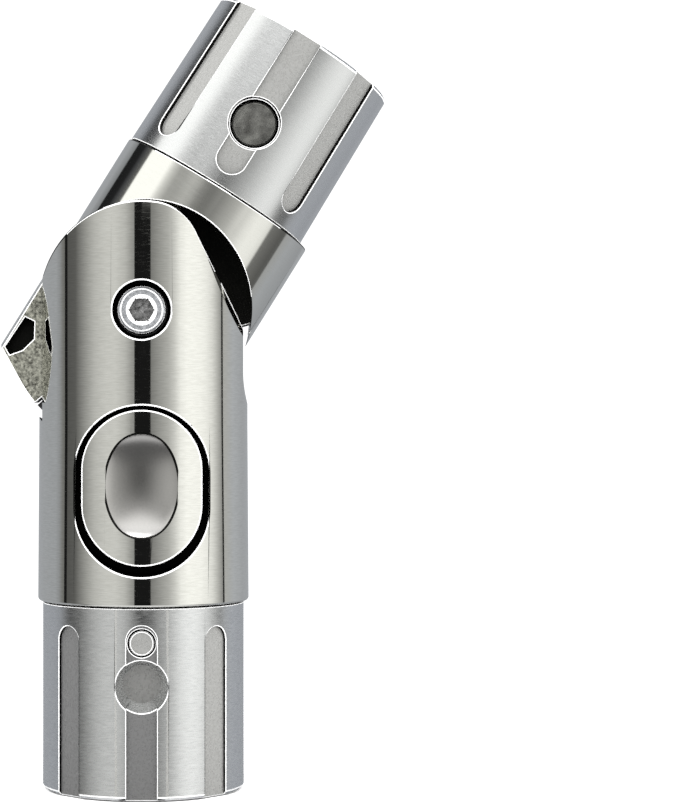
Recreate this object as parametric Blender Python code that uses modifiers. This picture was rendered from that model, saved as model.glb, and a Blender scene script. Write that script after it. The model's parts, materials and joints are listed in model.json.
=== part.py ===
"""Umbrella swivel bracket: a tilting pole joint that locks with a push button.

All driving sizes are in millimetres; MM turns them into Blender's metres.
The lower half stands on the origin with +Z up.  Everything on the tilting head is
drawn in the head's own frame, whose origin is the pivot, and hangs on one empty there.
"""

import math

import bmesh
import bpy
from mathutils import Matrix, Vector

MM = 0.001
GAP = 0.3                     # clearance that neighbouring pieces keep
OVER = 1.0                    # how far a cutter runs past the face it opens
REACH = 24.0                  # from the axis to outside every piece

# Poles and overall heights
PIVOT_Z = 86.3
REST_TILT = 32.0              # degrees that the head leans towards +X at rest
JOINT_R = 19.0                # radius of the polished bodies
HOUSING_FOOT_R = 19.2         # the casting's draft widens the housing downwards
SHOULDER_Z = 34.1             # lower end of the housing
HOUSING_DRAFT_Z = 66.0        # the draft starts here
EDGE_ROUND = 0.6

# Lower spigot
SPIGOT_R = 18.35
SPIGOT_TOP = SHOULDER_Z - GAP
NECK_R = 15.2
NECK_TOP = 38.0
END_CHAMFER = 0.6
QUADRANT_R = 15.0
QUADRANT_TOP = 28.0
RIB_HALF = 1.5
SPRING_WELL_R = 3.4
SPRING_WELL_Z = 31.7

# Channels and flutes moulded along both spigots
CHANNEL_HALF = 2.7
FLUTE_HALF = 2.65
CHANNEL_DEPTH = 0.8
CHANNEL_TOP = 30.8
FLUTE_TOP = 30.3
FLUTE_ANGLE = 46.0
RECESS_Z = 20.0
RECESS_R = 4.85
RECESS_FLOOR_R = 3.4
RECESS_FLOOR_Y = -12.7
RECESS_BOSS_R = 7.0
RECESS_BOSS_Y = (-16.3, -10.7)
PIN_Z = 27.7
PIN_HEAD_R = 2.2
PIN_SHANK_R = 1.5
PIN_FACE = 17.75              # distances of the pin's steps from the spigot's axis
PIN_HEAD_BACK = 17.2
PIN_END = 14.8
PIN_CHAMFER = 0.2

# Cheeks and slot, measured from the pivot
CHEEK_TOP_R = 19.2
SLOT_HALF = 5.5
SLOT_FLOOR_R = 26.8
SLOT_LEFT_DEG = 225.0
SLOT_RIGHT_DEG = 311.0
MOUTH_ROUND_Z = -10.8         # centre of the right mouth's round end
MOUTH_STEP_X = 13.7
RELIEF_TOP = (7.73, 17.68)    # where the straight cut meets each cheek's round top
RELIEF_LEAN = 26.7            # degrees of the cut from upright
RELIEF_ROUND = 9.0            # radius that eases the round top into the cut
WASHER_RECESS_R = 7.8
WASHER_RECESS_Y = 6.5
MECHANISM_HALF_X = 6.5
SOCKET_TOP = NECK_TOP + GAP

# Pivot fasteners, along Y
COUNTERBORE_R = 5.15
FRONT_SEAT_Y = -11.6
REAR_SEAT_Y = 12.9
SLEEVE_R = 3.8
SLEEVE_FRONT_Y = -9.5
SHANK_R = 2.5
SCREW_HEAD_R = 4.2
SCREW_FACE_Y = -18.2
SCREW_HEAD_BACK_Y = -13.2
NUT_HEAD_R = 4.75
NUT_FACE_Y = 17.9
HEAD_CHAMFER = 0.5
HEX_R = 2.31                  # corner radius of a 4 mm hexagon socket
HEX_DEPTH = 2.5
LOCK_WASHER = (2.9, 4.6)      # inner and outer radius
LOCK_WASHER_Y = (-12.9, -11.9)
LOCK_WASHER_SPLIT = 0.5       # half the width of its slit
SCREW_TIP_Y = 9.0
NUT_BORE_END_Y = 10.0
BUSH_R = 5.6

# Push button
WINDOW_HALF = (11.9, 15.05)
WINDOW_Z = 54.45
POCKET_FLOOR_Y = -8.0
BUTTON_HALF = (10.7, 13.75)
BUTTON_Z = 55.0
BUTTON_BACK_Y = -11.3
BUTTON_TRAVEL = 3.0
DIMPLE_Z = 55.4
DIMPLE_RADII = (7.9, 3.0, 9.34)
DIMPLE_Y = -19.6
BUTTON_SPRING_Z = (44.4, 65.4)
BUTTON_SPRING_R = 1.6
BUTTON_WIRE_R = 0.3
SPRING_POCKET_R = 2.4
SPRING_POCKET_Y = -14.0

# Release cam behind the button, with a 45 degree underside
CAM_HALF = 1.2
CAM_LOW = 48.5
CAM_TOP = 55.5
CAM_TIP_Y = -1.54
CAM_LINE = 56.54              # the underside is z = y + CAM_LINE
CAM_BASE_HALF = 4.0
CAM_BASE_Z = (48.0, 59.3)
CAM_BASE_Y = -13.4
CAM_SCREW_Z = 57.1
CAM_SCREW_R = (0.8, 1.2)      # shank and head
CAM_SCREW_TAP_R = 1.1
CAM_SCREW_SEAT_R = 1.5
CAM_SCREW_Y = (-15.4, -12.2, -11.5)
CAM_SCREW_TAP_Y = -15.8

# Lock pawl, its guide and spring
PAWL_HALF = (4.2, 4.0)
PAWL_FOOT = 47.5
PAWL_SHOULDER = 56.6
PAWL_TIP_ROOT = 57.4
PAWL_TOP = 60.4
PAWL_TIP_HALF = (2.4, 1.9)
PAWL_PIN = (-2.2, 52.5)
PAWL_PIN_R = 1.0
GUIDE_TOP = 59.0
GUIDE_OUTER_X = 6.2
GUIDE_BACK_Y = 5.2
PAWL_SPRING_R = 2.1
PAWL_WIRE_R = 0.4
PAWL_SPRING_TURNS = 6
BUTTON_SPRING_TURNS = 4
SEAT_FLANGE_R = 3.1
SEAT_FLANGE = 1.2             # thickness of the spring seat's flange
SEAT_PEG_R = 1.5
SEAT_PEG_TOP = 38.0

# Tilting head, in its own frame
COLLAR_TOP = 25.5
COLLAR_UNDER_R = 19.5
COLLAR_SOCKET_Z = 22.8
SOCKET_R = 15.5
TONGUE_HALF = 5.2
KNUCKLE_FOOT = -29.0          # below the end of the tongue
TONGUE_RIGHT_R = 17.3
TONGUE_ROOT_DEG = 26.0
TONGUE_STEP_DEG = -50.0
TONGUE_RIM_R = 22.3
TAIL_R = 25.5
TAIL_STEP_DEG = -108.0
TAIL_EDGE_DEG = -118.0
TAIL_CORNER = (-19.1, -18.5)
TAIL_POCKET = [(-17.6, -12.0), (-15.8, -11.8), (-14.2, -14.5), (-14.9, -17.3), (-16.4, -19.2),
               (-17.8, -18.4)]
TAIL_POCKET_FLOOR_Y = -2.4
SECTOR_GROOVE_HALF = 2.6
SECTOR_HALF = 2.3
SECTOR_IN_R = 18.5
SECTOR_DEG = (-107.0, -50.5)
NOTCH_DEG = (-90.0, -74.0, -58.0)
NOTCH_FLOOR_R = 22.4
NOTCH_HALF = (2.75, 2.2)
RIVET_DEG = (-82.0, -66.0)
RIVET_ORBIT_R = 20.2
RIVET_R = 1.3

# Upper spigot, in the head's frame
PLUG_SHIFT = 0.6              # its axis stands this far to the left of the collar's
UPPER_FOOT = COLLAR_TOP + GAP
UPPER_TOP = 56.4
UPPER_FOOT_R = 18.1
UPPER_TOP_R = 17.6
UPPER_WALL_R = 14.4
UPPER_HUB_R = 6.5
UPPER_POCKET_Z = 30.0
UPPER_CHANNEL_Z = 28.2
UPPER_FLUTE_Z = 28.6
HUB_BORE_R = 4.8
HUB_SEAT_Z = 33.0
CROSS_HOLE_Z = 38.4
CROSS_HOLE_R = 4.65
CROSS_STEP_Y = -16.2          # the hole narrows here
PLUG_R = 4.0
PLUG_FACE_Y = -15.6
PLUG_BACK_Y = -12.0
CROSS_HOLE_FLOOR_Y = -9.0
CROSS_BOSS_WALL = 1.8
GROOVE_WALL = 2.5             # how far the boss reaches into the outer wall
SPIGOT_SCREW_END = 10.0
SPIGOT_SCREW_HEAD = (4.5, 3.5)   # radius and height
SPIGOT_SCREW_HEX = 1.2           # floor of its socket above the seat

ROUND_STEPS = 56
HOLE_STEPS = 32
SMALL_STEPS = 24
TINY_STEPS = 16
COIL_STEPS = 9
ARC_STEP = 5.0                # degrees between points on an arc
END_STEP = 9.0                # the same, round the end of a slot


def clear_scene():
    for obj in list(bpy.data.objects):
        bpy.data.objects.remove(obj, do_unlink=True)


def new_collection(name):
    group = bpy.data.collections.new(name)
    bpy.context.scene.collection.children.link(group)
    return group


def metal(name, colour, roughness):
    mat = bpy.data.materials.new(name)
    mat.use_nodes = True
    shader = mat.node_tree.nodes["Principled BSDF"]
    shader.inputs["Base Color"].default_value = (*colour, 1.0)
    shader.inputs["Roughness"].default_value = roughness
    shader.inputs["Metallic"].default_value = 1.0
    return mat


def polar(radius, degrees):
    angle = math.radians(degrees)
    return (radius * math.cos(angle), radius * math.sin(angle))


def arc(radius, start, end, step=ARC_STEP):
    count = max(1, round(abs(end - start) / step))
    return [polar(radius, start + (end - start) * i / count) for i in range(count + 1)]


def obround(half_width, half_length, centre=0.0):
    """Outline of a slot with round ends, long along its second axis."""
    reach = half_length - half_width
    top = [(x, z + centre + reach) for x, z in arc(half_width, 0, 180, END_STEP)]
    foot = [(x, z + centre - reach) for x, z in arc(half_width, 180, 360, END_STEP)]
    return top + foot


class Builder:
    """Makes the pieces and cutters of one frame: the fixed one, or a moving body's."""

    AXES = {
        "X": Matrix(((0, 0, 1), (1, 0, 0), (0, 1, 0))).to_4x4(),
        "Y": Matrix.Rotation(math.radians(90), 4, "X"),
        "Z": Matrix.Identity(4),
    }

    def __init__(self, pieces, cutters, parent=None, origin=(0.0, 0.0, 0.0)):
        self.pieces = pieces
        self.cutters = cutters
        self.parent = parent
        self.origin = Vector(origin)

    def place(self, obj, name, centre, turn, mat):
        """Put an object in this frame; with no material it is a cutter."""
        obj.name = name
        group = self.pieces if mat else self.cutters
        group.objects.link(obj)
        obj.parent = self.parent
        shift = (Vector(centre) - self.origin) * MM
        obj.matrix_local = Matrix.Translation(shift) @ turn
        if mat:
            obj.data.materials.append(mat)
        else:
            obj.hide_render = True
            obj.display_type = "WIRE"
        return obj

    def solid(self, bm, name, centre, turn, mat):
        mesh = bpy.data.meshes.new(name)
        bm.to_mesh(mesh)
        bm.free()
        mesh.shade_smooth()
        mesh.set_sharp_from_angle(angle=math.radians(30))
        return self.place(bpy.data.objects.new(name, mesh), name, centre, turn, mat)

    def box(self, name, low, high, mat=None):
        bm = bmesh.new()
        bmesh.ops.create_cube(bm, size=MM)
        size = [top - foot for foot, top in zip(low, high)]
        bmesh.ops.scale(bm, vec=size, verts=bm.verts)
        centre = [(foot + top) / 2 for foot, top in zip(low, high)]
        return self.solid(bm, name, centre, Matrix.Identity(4), mat)

    def rod(self, name, radius, start, end, axis="Z", at=(0.0, 0.0), mat=None,
            end_radius=None, segments=SMALL_STEPS):
        """A cylinder or cone along one axis; at holds its other two coordinates."""
        bm = bmesh.new()
        far = radius if end_radius is None else end_radius
        bmesh.ops.create_cone(bm, cap_ends=True, segments=segments, radius1=radius * MM,
                              radius2=far * MM, depth=(end - start) * MM)
        middle = (start + end) / 2
        centre = {"X": (middle, at[0], at[1]), "Y": (at[0], middle, at[1]),
                  "Z": (at[0], at[1], middle)}[axis]
        turn = {"X": Matrix.Rotation(math.radians(90), 4, "Y"),
                "Y": Matrix.Rotation(math.radians(-90), 4, "X"),
                "Z": Matrix.Identity(4)}[axis]
        return self.solid(bm, name, centre, turn, mat)

    def prism(self, name, outline, start, end, axis="Z", mat=None, spin=0.0, lean=0.0):
        """A flat outline pushed out along one axis, then spun about Z."""
        curve = bpy.data.curves.new(name, "CURVE")
        curve.dimensions = "2D"
        curve.fill_mode = "BOTH"
        curve.extrude = (end - start) * MM / 2
        spline = curve.splines.new("POLY")
        spline.points.add(len(outline) - 1)
        for point, (u, v) in zip(spline.points, outline):
            point.co = (u * MM, v * MM, 0.0, 1.0)
        spline.use_cyclic_u = True
        drawn = bpy.data.objects.new(name, curve)
        self.cutters.objects.link(drawn)
        graph = bpy.context.evaluated_depsgraph_get()
        mesh = bpy.data.meshes.new_from_object(drawn.evaluated_get(graph))
        bpy.data.objects.remove(drawn)
        bpy.data.curves.remove(curve)
        bm = bmesh.new()
        bm.from_mesh(mesh)
        bpy.data.meshes.remove(mesh)
        bmesh.ops.remove_doubles(bm, verts=bm.verts, dist=MM / 1000)
        bmesh.ops.recalc_face_normals(bm, faces=bm.faces)
        middle = (start + end) / 2
        shift = {"X": (middle, 0, 0), "Y": (0, middle, 0), "Z": (0, 0, middle)}[axis]
        turn = Matrix.Rotation(math.radians(spin), 4, "Z")
        place = turn @ Matrix.Translation(Vector(shift) * MM) @ Matrix.Rotation(lean, 4, "X")
        return self.solid(bm, name, (0, 0, 0), place @ self.AXES[axis], mat)

    def turned(self, name, profile, mat=None, axis="Z", at=(0.0, 0.0), closed=False,
               steps=ROUND_STEPS):
        """Spin a profile of (radius, height), drawn from the top down its outer side."""
        bm = bmesh.new()
        points = [bm.verts.new((r * MM, 0.0, h * MM)) for r, h in profile]
        for first, second in zip(points, points[1:]):
            bm.edges.new((first, second))
        if closed:
            bm.edges.new((points[-1], points[0]))
        centre = (at[0], 0.0, at[1]) if axis == "Y" else (at[0], at[1], 0.0)
        turn = Matrix.Rotation(math.radians(-90 if axis == "Y" else 0), 4, "X")
        obj = self.solid(bm, name, centre, turn, mat)
        screw = obj.modifiers.new("turn", "SCREW")
        screw.steps = steps
        screw.render_steps = steps
        screw.use_merge_vertices = True
        screw.merge_threshold = MM / 1000
        screw.use_smooth_shade = True
        return obj

    def coil(self, name, radius, wire, start, end, turns, at, axis, mat):
        """A compression spring wound round one axis."""
        curve = bpy.data.curves.new(name, "CURVE")
        curve.dimensions = "3D"
        curve.bevel_depth = wire * MM
        curve.bevel_resolution = 2
        curve.use_fill_caps = True
        count = turns * COIL_STEPS + 1
        spline = curve.splines.new("POLY")
        spline.points.add(count - 1)
        for i, point in enumerate(spline.points):
            x, y = polar(radius, 360.0 * i / COIL_STEPS)
            along = start + wire + (end - start - 2 * wire) * i / (count - 1)
            point.co = (x * MM, y * MM, along * MM, 1.0)
        centre = (at[0], 0.0, at[1]) if axis == "Y" else (at[0], at[1], 0.0)
        turn = Matrix.Rotation(math.radians(-90 if axis == "Y" else 0), 4, "X")
        return self.place(bpy.data.objects.new(name, curve), name, centre, turn, mat)


def combine(target, operation, tools, solver="EXACT"):
    for tool in tools:
        step = target.modifiers.new(tool.name, "BOOLEAN")
        step.operation = operation
        step.solver = solver
        step.object = tool


def cut(target, *tools, solver="EXACT"):
    combine(target, "DIFFERENCE", tools, solver)


def keep(target, *tools):
    combine(target, "INTERSECT", tools)


def join(target, *tools):
    combine(target, "UNION", tools)


def from_pivot(outline):
    return [(x, z + PIVOT_Z) for x, z in outline]


def slot_outline():
    """Side view of the slot between the cheeks, down to its curved floor."""
    floor = arc(SLOT_FLOOR_R, SLOT_LEFT_DEG, SLOT_RIGHT_DEG)
    step_low = MOUTH_ROUND_Z - SLOT_HALF
    left = [(-REACH, REACH), (-REACH, floor[0][1])]
    right = [(MOUTH_STEP_X, step_low), (MOUTH_STEP_X, MOUTH_ROUND_Z), (REACH, MOUTH_ROUND_Z), (REACH, REACH)]
    return from_pivot(left + floor + right)


def crown_outline():
    """Front view of the cheeks: a round top eased into a straight cut on the right shoulder."""
    lean = math.radians(RELIEF_LEAN)
    across = Vector((math.cos(lean), math.sin(lean)))
    down = Vector((math.sin(lean), -math.cos(lean)))
    inset = across.dot(RELIEF_TOP) - RELIEF_ROUND
    rise = math.sqrt((CHEEK_TOP_R - RELIEF_ROUND) ** 2 - inset ** 2)
    centre = across * inset - down * rise
    start = math.degrees(math.atan2(centre.y, centre.x))
    ease = [centre + Vector(point) for point in arc(RELIEF_ROUND, start, RELIEF_LEAN)]
    foot = ease[-1] + down * REACH
    floor = SHOULDER_Z - PIVOT_Z - REACH
    left = [(-REACH, floor), (-REACH, 0)] + arc(CHEEK_TOP_R, 180, start)[:-1]
    right = [tuple(foot), (REACH, foot.y), (REACH, floor)]
    return from_pivot(left + [tuple(point) for point in ease] + right)


def lower_housing(b, mat):
    """The cheeks, the slot between them, and the seats of the button, pivot and mechanism."""
    top = PIVOT_Z + CHEEK_TOP_R + OVER
    foot = [(HOUSING_FOOT_R - EDGE_ROUND + x, SHOULDER_Z + EDGE_ROUND + z)
            for x, z in arc(EDGE_ROUND, 0, -90, 30)]
    body = b.turned("lower_housing", [(0, top), (JOINT_R, top), (JOINT_R, HOUSING_DRAFT_Z)] + foot
                    + [(SOCKET_R, SHOULDER_Z), (SOCKET_R, SOCKET_TOP), (0, SOCKET_TOP)], mat)
    keep(body, b.prism("cheek_crown", crown_outline(), -REACH, REACH, "Y"))
    pivot = (0, PIVOT_Z)
    mouth = (0, PIVOT_Z + MOUTH_ROUND_Z)
    cut(body,
        b.prism("cheek_slot", slot_outline(), -SLOT_HALF, SLOT_HALF, "Y"),
        b.rod("mouth_round", SLOT_HALF, MOUTH_STEP_X - OVER, REACH, "X", mouth, segments=HOLE_STEPS),
        b.box("mechanism_cavity", (-MECHANISM_HALF_X, -SLOT_HALF, SOCKET_TOP - OVER),
              (MECHANISM_HALF_X, SLOT_HALF, PIVOT_Z - SLOT_FLOOR_R + 2 * OVER)),
        b.prism("button_window", obround(*WINDOW_HALF, WINDOW_Z), -REACH, POCKET_FLOOR_Y, "Y"),
        b.box("cam_window", (-CAM_HALF - GAP, POCKET_FLOOR_Y - OVER, CAM_LOW - GAP),
              (CAM_HALF + GAP, -SLOT_HALF + OVER, CAM_TOP + GAP)),
        b.rod("front_counterbore", COUNTERBORE_R, -REACH, FRONT_SEAT_Y, "Y", pivot, segments=HOLE_STEPS),
        b.rod("rear_counterbore", COUNTERBORE_R, REAR_SEAT_Y, REACH, "Y", pivot, segments=HOLE_STEPS),
        b.rod("sleeve_hole", SLEEVE_R + GAP, SLEEVE_FRONT_Y - GAP, REAR_SEAT_Y + OVER, "Y", pivot),
        b.rod("screw_hole", SHANK_R + GAP, FRONT_SEAT_Y - OVER, SLEEVE_FRONT_Y + OVER, "Y", pivot),
        b.rod("washer_recess", WASHER_RECESS_R, -WASHER_RECESS_Y, WASHER_RECESS_Y, "Y", pivot))


def quadrant_outline(wall, hub, turn):
    """A pocket between two ribs, the outer wall and the hub."""
    rib_wall = math.degrees(math.asin(RIB_HALF / wall))
    outer = arc(wall, rib_wall, 90 - rib_wall, END_STEP)
    if hub > RIB_HALF * math.sqrt(2):
        rib_hub = math.degrees(math.asin(RIB_HALF / hub))
        inner = arc(hub, 90 - rib_hub, rib_hub, 2 * END_STEP)
    else:
        inner = [(RIB_HALF, RIB_HALF)]
    swing = Matrix.Rotation(math.radians(turn), 2)
    return [tuple(swing @ Vector(point)) for point in outer + inner]


def grooves(b, prefix, low, high, face_r, lean=0.0):
    """The wide channels front and back, and a narrower flute each side of them."""
    tools = []
    for back in (0, 180):
        for side in (-1, 0, 1):
            half = FLUTE_HALF if side else CHANNEL_HALF
            end = high[1] if side else high[0]
            foot = low[1] if side else low[0]
            outline = obround(half, (end - foot) / 2, (end + foot) / 2)
            tools.append(b.prism(f"{prefix}_groove_{back}_{side + 1}", outline, -face_r - OVER,
                                 CHANNEL_DEPTH - face_r, "Y", spin=back + side * FLUTE_ANGLE, lean=lean))
    return tools


def lower_spigot(b, mat):
    """The plug for the lower pole: four open pockets below, a neck above, grooves outside."""
    profile = [(0, NECK_TOP), (NECK_R, NECK_TOP), (NECK_R, SPIGOT_TOP), (SPIGOT_R, SPIGOT_TOP),
               (SPIGOT_R, END_CHAMFER), (SPIGOT_R - END_CHAMFER, 0), (0, 0)]
    body = b.turned("lower_spigot", profile, mat)
    for turn in (0, 90, 180, 270):
        outline = quadrant_outline(QUADRANT_R, 0, turn)
        cut(body, b.prism(f"lower_pocket_{turn}", outline, -OVER, QUADRANT_TOP))
    join(body, b.rod("recess_boss", RECESS_BOSS_R, RECESS_BOSS_Y[0], RECESS_BOSS_Y[1], "Y", (0, RECESS_Z)))
    widen = (RECESS_R - RECESS_FLOOR_R) / (SPIGOT_R + RECESS_FLOOR_Y)
    mouth_y = -SPIGOT_R - OVER
    mouth_r = RECESS_FLOOR_R + widen * (RECESS_FLOOR_Y - mouth_y)
    cut(body,
        *grooves(b, "lower", (-REACH, -REACH), (CHANNEL_TOP, FLUTE_TOP), SPIGOT_R),
        b.rod("spring_well", SPRING_WELL_R, SPRING_WELL_Z, NECK_TOP + OVER),
        b.rod("spigot_recess", mouth_r, mouth_y, RECESS_FLOOR_Y, "Y", (0, RECESS_Z),
              end_radius=RECESS_FLOOR_R, segments=HOLE_STEPS),
        b.rod("pin_hole", PIN_SHANK_R + GAP, mouth_y, GAP - PIN_END, "Y", (0, PIN_Z)),
        b.rod("pin_seat", PIN_HEAD_R + GAP, mouth_y, GAP - PIN_HEAD_BACK, "Y", (0, PIN_Z)))


def spigot_pin(b, mat):
    b.turned("spigot_pin",
             [(0, -PIN_END), (PIN_SHANK_R, -PIN_END), (PIN_SHANK_R, -PIN_HEAD_BACK),
              (PIN_HEAD_R, -PIN_HEAD_BACK), (PIN_HEAD_R, PIN_CHAMFER - PIN_FACE),
              (PIN_HEAD_R - PIN_CHAMFER, -PIN_FACE), (0, -PIN_FACE)],
             mat, "Y", (0, PIN_Z), steps=SMALL_STEPS)


def springs_and_guide(b, steel, bronze):
    low = SPRING_WELL_Z + GAP
    flange = low + SEAT_FLANGE
    b.turned("spring_seat",
             [(0, SEAT_PEG_TOP), (SEAT_PEG_R - GAP, SEAT_PEG_TOP), (SEAT_PEG_R, SEAT_PEG_TOP - GAP),
              (SEAT_PEG_R, flange), (SEAT_FLANGE_R, flange), (SEAT_FLANGE_R, low), (0, low)],
             bronze, steps=SMALL_STEPS)
    b.coil("pawl_spring", PAWL_SPRING_R, PAWL_WIRE_R, flange + GAP, PAWL_FOOT - GAP,
           PAWL_SPRING_TURNS, (0, 0), "Z", steel)
    for word, height in zip(("lower", "upper"), BUTTON_SPRING_Z):
        b.coil(f"button_spring_{word}", BUTTON_SPRING_R, BUTTON_WIRE_R, SPRING_POCKET_Y + GAP,
               POCKET_FLOOR_Y - GAP, BUTTON_SPRING_TURNS, (0, height), "Y", steel)
    inner_x = PAWL_HALF[0] + GAP
    inner_y = PAWL_HALF[1] + GAP
    right = [(inner_x, inner_y), (inner_x, -inner_y), (GUIDE_OUTER_X, -inner_y),
             (GUIDE_OUTER_X, GUIDE_BACK_Y)]
    left = [(-x, y) for x, y in reversed(right)]
    b.prism("pawl_guide", right + left, SOCKET_TOP, GUIDE_TOP, mat=bronze)


def pivot_screw(b, steel, spring_steel):
    """The cap screw in the front counterbore, and the split washer under its head."""
    at = (0, PIVOT_Z)
    screw = b.turned("pivot_screw",
                     [(0, SCREW_TIP_Y), (SHANK_R, SCREW_TIP_Y), (SHANK_R, SCREW_HEAD_BACK_Y),
                      (SCREW_HEAD_R, SCREW_HEAD_BACK_Y), (SCREW_HEAD_R, SCREW_FACE_Y + HEAD_CHAMFER),
                      (SCREW_HEAD_R - HEAD_CHAMFER, SCREW_FACE_Y), (0, SCREW_FACE_Y)],
                     steel, "Y", at, steps=SMALL_STEPS)
    cut(screw, b.rod("hex_socket", HEX_R, SCREW_FACE_Y - OVER, SCREW_FACE_Y + HEX_DEPTH, "Y", at, segments=6))
    inner, outer = LOCK_WASHER
    front, back = LOCK_WASHER_Y
    washer = b.turned("lock_washer", [(outer, back), (outer, front), (inner, front), (inner, back)],
                      spring_steel, "Y", at, closed=True, steps=SMALL_STEPS)
    cut(washer, b.box("washer_split", (-LOCK_WASHER_SPLIT, front - OVER, PIVOT_Z + OVER),
                      (LOCK_WASHER_SPLIT, back + OVER, PIVOT_Z + outer + OVER)))


def barrel_nut(b, steel):
    """The sleeve nut from the rear; the head turns on its barrel."""
    at = (0, PIVOT_Z)
    seat = REAR_SEAT_Y + GAP
    bore = SHANK_R + GAP
    nut = b.turned("barrel_nut",
                   [(0, NUT_FACE_Y), (NUT_HEAD_R - HEAD_CHAMFER, NUT_FACE_Y),
                    (NUT_HEAD_R, NUT_FACE_Y - HEAD_CHAMFER), (NUT_HEAD_R, seat), (SLEEVE_R, seat),
                    (SLEEVE_R, SLEEVE_FRONT_Y), (bore, SLEEVE_FRONT_Y), (bore, NUT_BORE_END_Y),
                    (0, NUT_BORE_END_Y)],
                   steel, "Y", at, steps=HOLE_STEPS)
    cut(nut, b.rod("nut_socket", HEX_R, NUT_FACE_Y - HEX_DEPTH, NUT_FACE_Y + OVER, "Y", at, segments=6))


def thrust_washers(b, bronze):
    outer = WASHER_RECESS_R - GAP
    inner = SLEEVE_R + GAP
    for word, low, high in (("front", GAP - WASHER_RECESS_Y, -SLOT_HALF),
                            ("rear", SLOT_HALF, WASHER_RECESS_Y - GAP)):
        b.turned(f"{word}_thrust_washer", [(outer, high), (outer, low), (inner, low), (inner, high)],
                 bronze, "Y", (0, PIVOT_Z), closed=True, steps=SMALL_STEPS)


def push_button(b, mat):
    """An oval slug whose front follows the housing's round face, with a hollow for the thumb."""
    button = b.prism("push_button", obround(*BUTTON_HALF, BUTTON_Z), -REACH, BUTTON_BACK_Y, "Y", mat)
    keep(button, b.rod("button_face", JOINT_R, BUTTON_Z - REACH, BUTTON_Z + REACH, segments=ROUND_STEPS))
    bm = bmesh.new()
    bmesh.ops.create_uvsphere(bm, u_segments=HOLE_STEPS, v_segments=TINY_STEPS, radius=MM)
    bmesh.ops.scale(bm, vec=DIMPLE_RADII, verts=bm.verts)
    dimple = b.solid(bm, "thumb_dimple", (0, DIMPLE_Y, DIMPLE_Z), Matrix.Identity(4), None)
    low, high = CAM_BASE_Z
    cut(button, dimple,
        b.box("cam_seat", (-CAM_BASE_HALF - GAP, CAM_BASE_Y - GAP, low - GAP),
              (CAM_BASE_HALF + GAP, BUTTON_BACK_Y + OVER, high + GAP)),
        b.rod("cam_screw_tap", CAM_SCREW_TAP_R, CAM_SCREW_TAP_Y, BUTTON_BACK_Y, "Y", (0, CAM_SCREW_Z),
              segments=TINY_STEPS))
    for i, height in enumerate(BUTTON_SPRING_Z):
        cut(button, b.rod(f"spring_pocket_{i}", SPRING_POCKET_R, SPRING_POCKET_Y, BUTTON_BACK_Y + OVER,
                          "Y", (0, height)))


def button_cam(b, mat, steel):
    """The wedge screwed behind the button; its sloping underside drives the pawl down."""
    low, high = CAM_BASE_Z
    cam = b.box("button_cam", (-CAM_BASE_HALF, CAM_BASE_Y, low), (CAM_BASE_HALF, BUTTON_BACK_Y, high), mat)
    root = CAM_BASE_Y + OVER
    stem = [(root, CAM_LOW), (CAM_LOW - CAM_LINE, CAM_LOW), (CAM_TIP_Y, CAM_TIP_Y + CAM_LINE),
            (CAM_TIP_Y, CAM_TOP), (root, CAM_TOP)]
    join(cam, b.prism("cam_stem", stem, -CAM_HALF, CAM_HALF, "X"))
    end, under, face = CAM_SCREW_Y
    shank, head = CAM_SCREW_R
    at = (0, CAM_SCREW_Z)
    cut(cam,
        b.rod("cam_screw_seat", CAM_SCREW_SEAT_R, under - GAP, BUTTON_BACK_Y + OVER, "Y", at,
              segments=TINY_STEPS),
        b.rod("cam_screw_hole", CAM_SCREW_TAP_R, CAM_BASE_Y - OVER, BUTTON_BACK_Y, "Y", at,
              segments=TINY_STEPS))
    b.turned("cam_screw", [(0, face), (head, face), (head, under), (shank, under), (shank, end), (0, end)],
             steel, "Y", at, steps=TINY_STEPS)


def lock_pawl(b, mat, steel):
    """The bolt that goes up into the sector, notched for the cam, and its cross pin."""
    half_x, half_y = PAWL_HALF
    root, tip = PAWL_TIP_HALF
    right = [(half_x, PAWL_FOOT), (half_x, PAWL_SHOULDER), (root, PAWL_TIP_ROOT), (tip, PAWL_TOP)]
    outline = right + [(-x, z) for x, z in reversed(right)]
    pawl = b.prism("lock_pawl", outline, -half_y, half_y, "Y", mat)
    pin_y, pin_z = PAWL_PIN
    behind = (PAWL_PIN_R + GAP) * math.sqrt(2)
    line = pin_z - pin_y - behind
    front = -half_y - OVER
    back = CAM_TIP_Y + BUTTON_TRAVEL + GAP
    top = CAM_TOP + BUTTON_TRAVEL + GAP
    notch = [(front, front + line), (back, back + line), (back, top), (front, top)]
    cut(pawl,
        b.prism("cam_notch", notch, -CAM_HALF - GAP, CAM_HALF + GAP, "X"),
        b.rod("pawl_pin_hole", PAWL_PIN_R + GAP, -half_x - OVER, half_x + OVER, "X", PAWL_PIN,
              segments=TINY_STEPS))
    b.rod("pawl_cross_pin", PAWL_PIN_R, GAP - half_x, half_x - GAP, "X", PAWL_PIN, steel,
          segments=TINY_STEPS)


def tongue_outline():
    """Front view of the space around the tongue, up to the collar's round underside."""
    slack = 0.05
    edge = polar(TAIL_R, TAIL_EDGE_DEG)
    slope = (TAIL_CORNER[1] - edge[1]) / (TAIL_CORNER[0] - edge[0])
    beyond = (-REACH, TAIL_CORNER[1] - slope * (REACH + TAIL_CORNER[0]))
    return ([(REACH, KNUCKLE_FOOT), (REACH, 0)] + arc(COLLAR_UNDER_R + slack, 0, TONGUE_ROOT_DEG)
            + arc(TONGUE_RIGHT_R, TONGUE_ROOT_DEG - 3, TONGUE_STEP_DEG)
            + arc(TONGUE_RIM_R, TONGUE_STEP_DEG, TAIL_STEP_DEG)
            + arc(TAIL_R, TAIL_STEP_DEG, TAIL_EDGE_DEG) + [beyond, (-REACH, KNUCKLE_FOOT)])


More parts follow.
